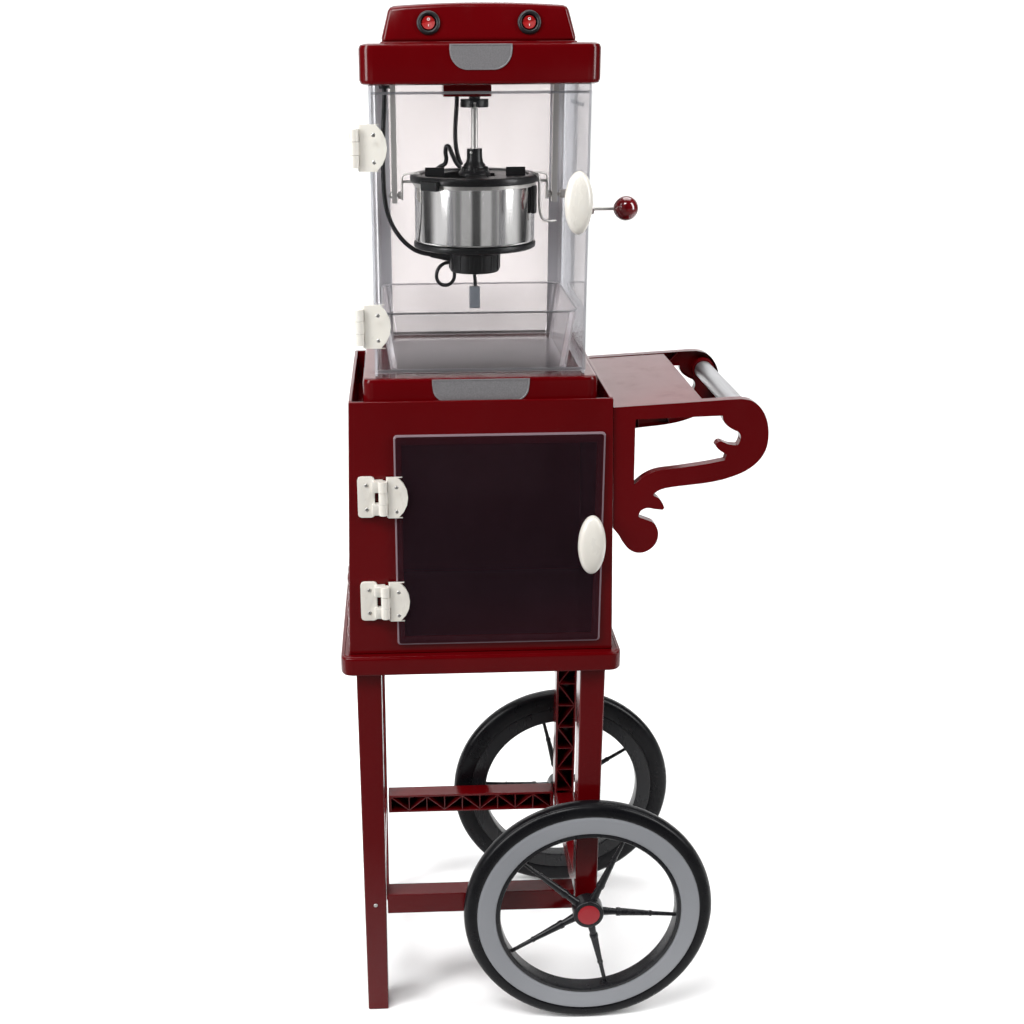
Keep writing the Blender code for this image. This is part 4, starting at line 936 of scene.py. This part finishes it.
def scroll_hole():
    """The opening in the bracket, clockwise from its top left corner."""
    top = [(0.1690, 0.7688), (0.2648, 0.7715)]
    nose = curve_between([(0.2655, 0.7670), (0.2690, 0.7615), (0.2765, 0.7560),
                          (0.2840, 0.7520), (0.2864, 0.7455), (0.2842, 0.7382)], 5)
    tongue = curve_between([(0.2830, 0.7375), (0.2744, 0.7385), (0.2660, 0.7420),
                            (0.2620, 0.7418), (0.2592, 0.7380), (0.2612, 0.7345),
                            (0.2660, 0.7305), (0.2722, 0.7270)], 4)
    low = curve_between([(0.2706, 0.7205), (0.2500, 0.7166), (0.2205, 0.7125), (0.1960, 0.7095),
                         (0.1815, 0.7032), (0.1700, 0.6935)], 5)
    return top + nose + tongue + low


def scroll_bracket(end):
    """Moulded bracket: smooth outside, a rim and ribs round a shallow pocket inside."""
    low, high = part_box("bracket_" + end)
    outside, inside = (high.y, low.y) if end == "back" else (low.y, high.y)
    bm = bmesh.new()
    edges = []
    for outline in (scroll_outline(), scroll_hole()):
        loop = [bm.verts.new(at(x, outside, z)) for x, z in outline]
        edges += [bm.edges.new((a, b)) for a, b in zip(loop, loop[1:] + loop[:1])]
    bmesh.ops.triangle_fill(bm, edges=edges, use_beauty=True, use_dissolve=False)
    pushed = bmesh.ops.extrude_face_region(bm, geom=list(bm.faces))
    for vert in (v for v in pushed["geom"] if isinstance(v, bmesh.types.BMVert)):
        vert.co.y = inside
    back_faces = [f for f in pushed["geom"] if isinstance(f, bmesh.types.BMFace)]
    bmesh.ops.inset_region(bm, faces=back_faces, thickness=0.0022, depth=0.0,
                           use_even_offset=False, use_boundary=True)
    for vert in {v for f in back_faces for v in f.verts}:
        vert.co.y = inside + (outside - inside) * 0.72
    show("bracket_" + end + "_scroll", bm, "crimson", "cart",
         ["bracket_" + end], sharp=34.0, soft=0.0008, steps=2)
    bm = bmesh.new()
    depths = (inside + (outside - inside) * 0.10, inside + (outside - inside) * 0.75)
    for x_a, z_a, x_b, z_b in ((0.2480, 0.7720, 0.2620, 0.7870), (0.2100, 0.7710, 0.2200, 0.7850),
                               (0.2870, 0.7600, 0.3090, 0.7700), (0.2880, 0.7300, 0.3060, 0.7200),
                               (0.2500, 0.7160, 0.2560, 0.6970), (0.2150, 0.7110, 0.2170, 0.6920),
                               (0.1690, 0.7000, 0.1560, 0.6800), (0.1800, 0.7000, 0.1740, 0.6640)):
        add_rib(bm, [at(x + dx * RIB / 2, y, z) for y in depths
                     for x, z, dx in ((x_a, z_a, -1), (x_b, z_b, -1), (x_b, z_b, 1),
                                      (x_a, z_a, 1))])
    show("bracket_" + end + "_ribs", bm, "ribs", "cart")


def push_bar():
    """Satin tube with a socket at each end."""
    low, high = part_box("push_bar")
    centre = (low + high) / 2.0
    radius = (high.x - low.x) / 2.0
    bm = bmesh.new()
    end = (high.y - low.y) / 2.0
    add_turned(bm, [(0.0, -end), (radius - 0.0005, -end), (radius, -end + 0.0006),
                    (radius, end - 0.0006), (radius - 0.0005, end), (0.0, end)],
               "y", centre, 56)
    show("push_bar_tube", bm, "bar", "cart", ["push_bar"], sharp=40.0)
    bm = bmesh.new()
    for sign in (-1, 1):
        collar = [(radius + 0.0002, end - 0.0060), (radius + 0.0026, end - 0.0060),
                  (radius + 0.0034, end - 0.0008), (radius + 0.0034, end),
                  (radius + 0.0002, end)]
        add_turned(bm, [(r, sign * h) for r, h in collar], "y", centre, 48, ring=True)
    show("push_bar_sockets", bm, "crimson", "cart", sharp=40.0)


def side_shelf():
    """The shelf, its two brackets and the bar between them."""
    refined("side_shelf", "crimson", 0.0010)
    for end in ("front", "back"):
        scroll_bracket(end)
    push_bar()


# ---------------------------------------------------------------- machine body

BADGE_THICK = 0.0008


def badge(name, outline, y):
    """Satin plate with a fine raised border, following its outline."""
    bm = bmesh.new()
    count = len(outline)
    middle_x, middle_z = (sum(p[i] for p in outline) / count for i in (0, 1))
    half_x = max(abs(x - middle_x) for x, z in outline)
    half_z = max(abs(z - middle_z) for x, z in outline)
    loops = []
    for inset, depth in ((0.0, 0.0), (0.0, BADGE_THICK), (0.0007, BADGE_THICK + 0.0002),
                         (0.0013, BADGE_THICK + 0.0002), (0.0017, BADGE_THICK - 0.0003)):
        keep_x, keep_z = 1.0 - inset / half_x, 1.0 - inset / half_z
        loops.append([bm.verts.new(at(middle_x + (x - middle_x) * keep_x, y - depth,
                                      middle_z + (z - middle_z) * keep_z)) for x, z in outline])
    add_skin(bm, loops)
    show(name, bm, "badge", "machine", sharp=40.0)


def badge_outline(half_top, half_shoulder, half_low, top, shoulder, bottom, radius, steps):
    """Straight top, nearly upright sides down to the shoulders, two round lower corners."""
    right = (half_low - radius, bottom + radius)
    left = (-half_low + radius, bottom + radius)
    return [(-half_top, top), (half_top, top), (half_shoulder, shoulder),
            *arc(right, radius, 0, -90, steps), *arc(left, radius, -90, -180, steps),
            (-half_shoulder, shoulder)]


def badges():
    """The plates on the canopy's front and on the base's front."""
    top = CANOPY_HIGH.z - 0.0006
    badge("canopy_badge", badge_outline(0.0315, 0.0318, 0.0315, top, top - 0.0050,
                                        CANOPY_HIGH.z - 0.0255, 0.0185, 10),
          CANOPY_LOW.y + 0.0002)
    top = BASE_HIGH.z - 0.0012
    badge("base_badge", badge_outline(0.0530, 0.0528, 0.0522, top, top - 0.0060,
                                      BASE_HIGH.z - 0.0262, 0.0150, 8),
          BASE_LOW.y + 0.0002)


HOOD_RISE, HOOD_SETBACK = 0.0355, 0.0085         # how the hood's front leans back
HOOD_FOOT_Y, HOOD_FOOT_Z = -0.0900, 1.1595       # its lower front edge
SWITCH_Z = 1.1785


def lean_on_hood(bm, side):
    """Move a shape made about the origin onto the switch's place in the hood's front."""
    low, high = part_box("rocker_" + side)
    y = HOOD_FOOT_Y + (SWITCH_Z - HOOD_FOOT_Z) / HOOD_RISE * HOOD_SETBACK
    placed(bm.verts, Matrix.Rotation(-atan2(HOOD_SETBACK, HOOD_RISE), 3, "X"),
           Vector(((low.x + high.x) / 2, y, SWITCH_Z)))
    return bm


def rocker_cap():
    """Round cap, dished across its middle, with its upper half standing proud."""
    bm = bmesh.new()
    steps, radius = 40, 0.0070
    loops = []
    for scale, depth in ((1.0, 0.0030), (1.0, 0.0006), (0.985, -0.0004), (0.93, -0.0010),
                         (0.6, -0.0009), (0.2, -0.0004)):
        loop = []
        for k in range(steps):
            angle = 2 * pi * k / steps
            x, z = radius * scale * cos(angle), radius * scale * sin(angle)
            dish = -0.00088 * (abs(z) / radius) ** 1.5 if depth < 0.0005 else 0.0
            proud = 0.0006 if z > 0 and depth < 0 else 0.0
            loop.append(bm.verts.new((x, depth + dish + proud, z)))
        loops.append(loop)
    add_skin(bm, loops)
    return bm


def switches():
    """Two round rockers, each in a rolled bezel, with a ring and a bar for off and on."""
    for side in ("left", "right"):
        bm = bmesh.new()
        bezel = [(0.0079, 0.0040), (0.0079, -0.0012), (0.0084, -0.0024), (0.0096, -0.0030),
                 (0.0112, -0.0026), (0.0120, -0.0014), (0.0122, 0.0004)]
        add_turned(bm, bezel, "y", segments=56, ring=True)
        show("switch_bezel_" + side, lean_on_hood(bm, side), "black", "machine",
             sharp=50.0)
        show("rocker_cap_" + side, lean_on_hood(rocker_cap(), side), "rocker",
             f"rocker_{side}_body", ["rocker_" + side], sharp=40.0)
        bm = bmesh.new()
        add_turned(bm, [(0.0009, -0.0002), (0.0009, -0.0010), (0.0014, -0.0010),
                        (0.0014, -0.0002)], "y", Vector((0, -0.0004, 0.0034)), 24, ring=True)
        add_prism(bm, rectangle(-0.0003, 0.0003, -0.0042, -0.0020), -0.0024, -0.0010, "y",
                  shift=ORIGIN)
        show("rocker_marks_" + side, lean_on_hood(bm, side), "mark", f"rocker_{side}_body",
             sharp=40.0)


def hood_foot_bead():
    """A soft bead that runs the hood's foot into the canopy."""
    half = (HOOD_HIGH.x - HOOD_LOW.x) / 2.0 + 0.0002
    bm = bmesh.new()
    add_bead(bm, rounded_rectangle(-half, half, HOOD_LOW.y - 0.0002, HOOD_HIGH.y + 0.0002,
                                   0.0042, 5), CANOPY_HIGH.z + 0.0002, 0.0016, 10)
    show("hood_foot_bead", bm, "crimson", "machine", sharp=60.0)


def cord_grommet():
    """The collar through which the kettle's supply cord leaves the canopy."""
    bm = bmesh.new()
    add_turned(bm, [(0.0028, -0.0070), (0.0058, -0.0070), (0.0070, -0.0020), (0.0070, 0.0004),
                    (0.0028, 0.0004)], "z", at(-0.0985, 0.0, CANOPY_LOW.z), 32, ring=True)
    show("cord_grommet", bm, "black", "machine", sharp=40.0)


def machine_shell():
    """Base, canopy and hood with their badges and switches, and the motor inside."""
    refined("machine_base", "crimson", 0.0)
    refined("canopy", "crimson", 0.0)
    refined("canopy_floor", "crimson", 0.0008)
    refined("hood", "crimson", 0.0, sharp=40.0)
    badges()
    switches()
    hood_foot_bead()
    cord_grommet()
    refined("stir_motor", "arm", 0.0008)


def add_panel(bm, low, high, thin):
    """A thin sheet across x or y: its cut edges take the second finish."""
    if thin == "x":
        outline, span = rectangle(low.y, high.y, low.z, high.z), (low.x, high.x)
    else:
        outline, span = rectangle(low.x, high.x, low.z, high.z), (low.y, high.y)
    for edge in add_prism(bm, outline, *span, thin, shift=ORIGIN)[2:]:
        edge.material_index = 1


CASE_WALL = 0.0025


def clear_walls():
    """Clear side walls with bright cut edges, and the back sheet's strips above and below the
    milky panel, which stands close in front of the rest of it."""
    strip = 0.003
    low, high = CASE_LOW, CASE_HIGH
    bm = bmesh.new()
    add_panel(bm, low, Vector((low.x + CASE_WALL, high.y, high.z)), "x")
    add_panel(bm, Vector((high.x - CASE_WALL, low.y, low.z)), high, "x")
    for bottom, top in ((low.z, low.z + strip), (high.z - strip, high.z)):
        add_panel(bm, Vector((low.x + CASE_WALL, high.y - CASE_WALL, bottom)),
                  Vector((high.x - CASE_WALL, high.y, top)), "y")
    show("clear_walls", bm, ("clear", "clear_edge"), "machine", ["glass_case"],
         sharp=40.0)


def corner_posts():
    """Grey moulded posts in the two back corners of the case."""
    back = CASE_HIGH.y - CASE_WALL - 0.0022
    edge = (CASE_HIGH.x - CASE_LOW.x) / 2.0 - CASE_WALL - 0.0005
    bm = bmesh.new()
    for sx in (-1, 1):
        outline = [(sx * edge, back), (sx * (edge - 0.0160), back),
                   (sx * (edge - 0.0160), back - 0.0012), (sx * (edge - 0.0040), back - 0.0022),
                   (sx * (edge - 0.0014), back - 0.0045), (sx * (edge - 0.0012), back - 0.0120),
                   (sx * edge, back - 0.0120)]
        add_prism(bm, outline, CASE_LOW.z + 0.0008, CASE_HIGH.z - 0.0008)
    show("case_corner_posts", bm, "post", "machine", sharp=30.0, soft=0.0004)


def vent_slot_shade():
    """A row of small upright grey ovals near the top of the right wall; their grey is painted shade
    standing in for the open vent slots.
    """
    slot = [(0.0, -0.0003), (0.0009, -0.0003), (0.0010, 0.0), (0.0009, 0.0003), (0.0, 0.0003)]
    pitch = 0.0170
    bm = bmesh.new()
    for k in range(7):
        placed(add_turned(bm, slot, "x", segments=12), Matrix.Diagonal((1.0, 1.0, 2.6)),
               Vector((CASE_HIGH.x - CASE_WALL - 0.0004, -0.066 + pitch * k,
                       CASE_HIGH.z - 0.022)))
    # The grey of these ovals is painted shade where the vent slots open through the wall.
    show("vent_slot_shade", bm, "grey", "machine", sharp=50.0)


def clear_case():
    """Walls, milky back panel, corner posts, and grey ovals of painted shade for the vents."""
    clear_walls()
    refined("back_panel", "panel", 0.0)
    corner_posts()
    vent_slot_shade()


def clear_door():
    """Clear door with bright edges and a turned-in flange along its top and bottom."""
    low, high = CASE_DOOR_LOW, CASE_DOOR_HIGH
    bm = bmesh.new()
    add_panel(bm, low, high, "y")
    show("clear_door_panel", bm, ("clear", "clear_edge"), "case_door_body",
         ["case_door"], sharp=40.0)
    bm = bmesh.new()
    deep, tall, inset = 0.0018, 0.0026, 0.0030
    y = high.y - 0.0002
    for z in (low.z + 0.0004, high.z - 0.0030):
        add_prism(bm, rectangle(y, y + deep, z, z + tall), low.x + inset, high.x - inset, "x",
                  shift=ORIGIN)
    show("door_flanges", bm, "clear_edge", "case_door_body", sharp=40.0,
         soft=0.0004)


def tray():
    """Clear tray: sloping walls, rounded corners and a rolled rim."""
    bm = cad_copy("popcorn_tray")
    for face in bm.faces:
        face.material_index = 1 if face.calc_center_median().z > TRAY_HIGH.z - 0.0006 else 0
    show("clear_tray", bm, ("tray", "tray_edge"), "machine", ["popcorn_tray"],
         sharp=40.0)
    bm = bmesh.new()
    half, inset = (TRAY_HIGH.x - TRAY_LOW.x) / 2 - 0.0005, 0.0005
    add_bead(bm, rounded_rectangle(-half, half, TRAY_LOW.y + inset, TRAY_HIGH.y - inset, 0.014, 7),
             TRAY_HIGH.z - 0.0004, 0.0011, 10)
    show("tray_rim", bm, "tray_edge", "machine", sharp=60.0)


# ---------------------------------------------------------------- kettle

HOUSING_R, HOUSING_LOW = 0.0300, 0.9125      # the round housing under the kettle's base


def drawn_pot(centre):
    """Steel pot with a rolled foot and a trimmed rim."""
    low, high, inner = POT_LOW.z, POT_HIGH.z, POT_R - 0.0014
    bm = bmesh.new()
    add_turned(bm, [(0.0, low), (POT_R - 0.0030, low), (POT_R - 0.0008, low + 0.0008),
                    (POT_R, low + 0.0028), (POT_R, high - 0.0008), (POT_R - 0.0004, high),
                    (inner + 0.0003, high), (inner, high - 0.0006), (inner, low + 0.006),
                    (inner - 0.0010, low + 0.0034), (inner - 0.0040, low + 0.0020),
                    (0.0, low + 0.0020)], "z", centre, 128)
    show("kettle_drawn_pot", bm, "steel", "kettle", ["kettle_pot"], sharp=40.0)


def kettle_base(centre):
    """Black base: a dish under the pot, the fluted housing and the supply cord's entry."""
    edge, bottom, top = HOUSING_R, HOUSING_LOW, POT_LOW.z - 0.0004
    bm = bmesh.new()
    add_turned(bm, [(0.0, bottom), (edge - 0.0045, bottom), (edge - 0.0028, bottom + 0.0006),
                    (edge - 0.0018, bottom + 0.0022), (edge - 0.0016, bottom + 0.0200),
                    (edge - 0.0004, bottom + 0.0215), (edge + 0.0006, 0.9362),
                    (0.0600, 0.9395), (0.0668, 0.9405), (0.0684, 0.9416), (0.0688, 0.9430),
                    (0.0688, 0.9462), (0.0682, top), (0.0560, top),
                    (0.0560, 0.9425), (0.0, 0.9425)], "z", centre, 96)
    show("kettle_base_moulding", bm, "black", "kettle", ["kettle_base"],
         sharp=34.0)
    bm = bmesh.new()
    flutes = 14
    for k in range(flutes):
        angle = 2 * pi * k / flutes
        spot = Vector((cos(angle), sin(angle), 0)) * (edge - 0.0017)
        add_turned(bm, [(0.0, 0.0), (0.0010, 0.0), (0.0010, 0.0165), (0.0, 0.0175)], "z",
                   spot + centre + Vector((0, 0, bottom + 0.0035)), 8)
    show("housing_flutes", bm, "black", "kettle", sharp=40.0)
    bm = bmesh.new()
    entry = smooth_route([at(-0.0505, -0.001, 0.9322), at(-0.0420, 0.0, 0.9313),
                          at(-0.0340, 0.0, 0.9305), at(-0.0275, 0.0, 0.9300)], 4)
    thin, thick = 0.0034, 0.0068
    radii = [thin + (thick - thin) * i / (len(entry) - 1) for i in range(len(entry))]
    add_tube(bm, entry, radii, 20)
    show("housing_strain_relief", bm, "black", "kettle", sharp=50.0)


def kettle():
    """Pot on its black base, with the heater, yoke, lid, stirrer, handle and fittings."""
    centre = at(0.0, 0.0, 0.0)
    drawn_pot(centre)
    kettle_base(centre)
    refined("heater_plate", "arm", 0.0006)
    refined("kettle_yoke", "arm", 0.0003, 40.0)
    lid(centre)
    stir_drive(centre)
    tilt_handle()
    kettle_fittings()


def lid(centre):
    """Ring, bridge and stepped collar, with three lugs round the collar and two flaps."""
    bm = bmesh.new()
    low, high = 1.0160, 1.0215
    add_turned(bm, [(0.0605, low), (LID_R - 0.0026, low), (LID_R - 0.0026, 1.0138),
                    (LID_R - 0.0012, 1.0132), (LID_R - 0.0002, 1.0140), (LID_R, low + 0.0010),
                    (LID_R - 0.0003, high - 0.0022), (LID_R - 0.0016, high - 0.0006),
                    (LID_R - 0.0036, high), (0.0640, high), (0.0612, high - 0.0006),
                    (0.0605, high - 0.0020)], "z", centre, 112, ring=True)
    add_prism(bm, rectangle(-0.0116, 0.0116, -0.0615, 0.0615), low + 0.0004, high - 0.0008)
    collar = [(0.0, 1.0185), (0.0178, 1.0185), (0.0176, 1.0225), (0.0160, 1.0240),
              (0.0152, 1.0262), (0.0128, 1.0275), (0.0120, 1.0310), (0.0100, 1.0330),
              (0.0088, 1.0370), (0.0086, 1.0470), (0.0080, 1.0480), (0.0, 1.0480)]
    add_turned(bm, collar, "z", centre, 56)
    for k in range(3):
        angle = radians(-150.0 + 60.0 * k)
        spot = Vector((cos(angle), sin(angle), 0)) * 0.0140
        add_turned(bm, [(0.0, 0.0), (0.0026, 0.0), (0.0026, 0.0080), (0.0018, 0.0088),
                        (0.0, 0.0088)], "z", spot + centre + Vector((0, 0, 1.0205)), 16)
    show("lid_moulding", bm, "black", "kettle", ["lid_bridge"], sharp=34.0)
    screws("collar_set_screw", [at(-0.0042, -0.0077, 1.0440)], (-0.45, -0.9, 0), "kettle", 0.0017,
           0.0008)
    for side in ("left", "right"):
        refined("lid_flap_" + side, "black", 0.0004)


def stir_drive(centre):
    """Shaft, its tang and wiper, and the coupling that drives it."""
    bm = bmesh.new()
    add_turned(bm, [(0.0, 0.9520), (0.0033, 0.9520), (0.00365, 0.9530), (0.00365, 1.0900),
                    (0.0032, 1.0910), (0.0, 1.0910)], "z", centre, 40)
    add_prism(bm, rectangle(-0.0012, 0.0012, -0.0030, 0.0030), 1.0890, 1.0960)
    add_prism(bm, rectangle(-0.0550, 0.0550, -0.0030, -0.0012), 0.9512, 0.9560)
    add_prism(bm, rectangle(-0.0550, 0.0550, 0.0012, 0.0030), 0.9512, 0.9540)
    show("stir_shaft", bm, "arm", "stirrer_body", ["stirrer"], sharp=34.0,
         soft=0.0002, steps=1)
    refined("drive_coupling", "black", 0.0005)


def tilt_handle():
    """Bent rod with a turned ball."""
    refined("tilt_handle", "arm", 0.0004, 40.0)
    low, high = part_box("handle_ball")
    middle = (low + high) / 2.0
    radius = (high.x - low.x) / 2.0
    bm = bmesh.new()
    profile = [(0.0, -radius), (0.0042, -radius + 0.0002)]
    profile += [(radius * sin(radians(a)), -radius * cos(radians(a))) for a in range(24, 180, 6)]
    profile += [(0.0, radius)]
    add_turned(bm, profile, "x", middle, 56)
    show("tilt_ball", bm, "ball", "kettle", ["handle_ball"], sharp=60.0)


def kettle_fittings():
    """Clips and bent wires that hold the lid down, and the kettle's small lifting wire."""
    bm = bmesh.new()
    for sx in (-1, 1):
        route = smooth_route([at(sx * 0.0812, -0.006, 1.0000), at(sx * 0.0814, -0.006, 1.0120),
                              at(sx * 0.0800, -0.006, 1.0195), at(sx * 0.0760, -0.008, 1.0215),
                              at(sx * 0.0700, -0.012, 1.0225), at(sx * 0.0620, -0.018, 1.0235)], 5)
        add_tube(bm, route, 0.0010, 10)
    hook = smooth_route([at(0.0640, -0.024, 1.0232), at(0.0690, -0.028, 1.0190),
                         at(0.0700, -0.029, 1.0040), at(0.0703, -0.029, 0.9860),
                         at(0.0735, -0.026, 0.9745), at(0.0810, -0.020, 0.9705),
                         at(0.0900, -0.014, 0.9700)], 6)
    add_tube(bm, hook, 0.0014, 12)
    show("lid_wires", bm, "arm", "kettle", sharp=60.0)
    for name, half, y_low, y_high, tall, angle, spot, soft, steps in (
            ("lid_latch", 0.0118, -0.0028, 0.0030, 0.0105, -42.0, at(-0.0512, -0.0530, 1.0075),
             0.0014, 3),
            ("pot_clip", 0.0045, -0.0022, 0.0022, 0.0300, 66.0, at(0.0640, -0.0285, 0.9800),
             0.0010, 2)):
        bm = bmesh.new()
        add_prism(bm, rectangle(-half, half, y_low, y_high), 0.0, tall, shift=ORIGIN)
        placed(bm.verts, Matrix.Rotation(radians(angle), 3, "Z"), spot)
        show(name, bm, "black", "kettle", sharp=30.0, soft=soft, steps=steps)
    refined("probe_plug", "grey", 0.0008)


def support_arms():
    """The two arms that carry the kettle, and the nut at the left one."""
    for side in ("left", "right"):
        refined("support_arm_" + side, "arm", 0.0006)
    screws("arm_nut_left", [at(-0.0925, 0.0, 0.9980)], (-1, 0, 0), "machine", 0.0042, 0.0016)


# ---------------------------------------------------------------- studio

def soft_light(name, place, target, size, power):
    """A rectangular lamp at a place, turned towards a target."""
    data = bpy.data.lights.new(name, "AREA")
    data.shape = "RECTANGLE"
    data.size, data.size_y = size
    data.energy = power
    light = bpy.data.objects.new(name, data)
    bpy.context.scene.collection.objects.link(light)
    light.location = place
    light.rotation_euler = (Vector(target) - Vector(place)).to_track_quat("-Z", "Y").to_euler()


def paper_sweep():
    """Pale floor that rises behind the object, dim in front for the glossy parts to reflect."""
    bm = bmesh.new()
    rows = [(-3.5, 0.0), (1.6, 0.0)] + [(1.6 + 1.2 * sin(radians(a)), 1.2 - 1.2 * cos(radians(a)))
                                         for a in range(15, 91, 15)] + [(2.8, 4.0)]
    loops = [[bm.verts.new((x, y, z - 0.0004)) for x in (-5.0, 5.0)] for y, z in rows]
    for near, far in zip(loops, loops[1:]):
        bm.faces.new((near[0], near[1], far[1], far[0]))
    mesh = bpy.data.meshes.new("studio_sweep")
    bm.to_mesh(mesh)
    bm.free()
    mesh.shade_smooth()
    sweep = bpy.data.objects.new("studio_sweep", mesh)
    bpy.context.scene.collection.objects.link(sweep)
    recipe = Recipe("sweep_paper", roughness=0.9)
    ahead = recipe.add("ShaderNodeSeparateXYZ", inputs={"Vector": recipe.place()}, output="Y")
    paper = recipe.mix(recipe.noise(2.0, 2.0), (0.88, 0.88, 0.88), (0.91, 0.91, 0.91))
    recipe.set(base_color=recipe.mix(ahead.ramp(-0.14, -0.55), paper, (0.16, 0.16, 0.16)))
    mesh.materials.append(recipe.material)


def room_light():
    """Dim room, with two bright wings low behind the camera for the pot to reflect."""
    world = bpy.data.worlds.new("studio_world")
    world.use_nodes = True
    glow = Surroundings(world)
    direction = glow.add("ShaderNodeTexCoord", output="Generated")
    aside, ahead, upward = (glow.add("ShaderNodeSeparateXYZ", inputs={"Vector": direction},
                                     output=axis) for axis in "XYZ")
    room = (ahead + upward * 0.55).ramp(-0.60, 0.45, 0.008, 0.055)
    wide = aside.math("ABSOLUTE", aside)
    wings = (wide.ramp(0.10, 0.20, 0.06, 0.52) + wide.ramp(0.60, 0.75, 0.0, 0.6)
             + wide.ramp(0.44, 0.52, 0.0, -0.30))
    wings = wings * upward.ramp(-0.22, -0.17) * upward.ramp(-0.03, -0.07) * ahead.ramp(0.2, -0.2)
    background = world.node_tree.nodes["Background"]
    glow.feed(background.inputs["Color"], (1.0, 1.0, 1.0))
    glow.feed(background.inputs["Strength"], room + wings)
    bpy.context.scene.world = world


def studio():
    """Sweep, room and five lamps."""
    paper_sweep()
    room_light()
    soft_light("window_left", (-2.3, -1.3, 1.9), (-0.1, 0.0, 0.7), (0.9, 2.6), 95.0)
    soft_light("window_right", (2.2, -1.0, 1.8), (0.0, 0.0, 0.6), (0.7, 2.4), 60.0)
    soft_light("front_fill", (-0.9, -1.7, 3.5), (-0.1, 0.0, 0.7), (1.4, 0.8), 70.0)
    soft_light("overhead", (0.0, 0.7, 3.0), (0.0, 0.1, 0.6), (2.6, 1.6), 55.0)
    soft_light("backdrop_wash", (0.0, 1.0, 2.9), (0.0, 2.8, 1.0), (3.0, 0.6), 24.0)
    bpy.context.scene.view_settings.view_transform = "Standard"


cart_frame()
for wheel_end in ("front", "back"):
    wheel(wheel_end)
cabinet()
pull("cabinet_pull", "cabinet_knob", "cabinet_door_body")
pull("case_pull", "case_knob", "case_door_body")
hinges()
side_shelf()
machine_shell()
clear_case()
clear_door()
tray()
kettle()
support_arms()
studio()
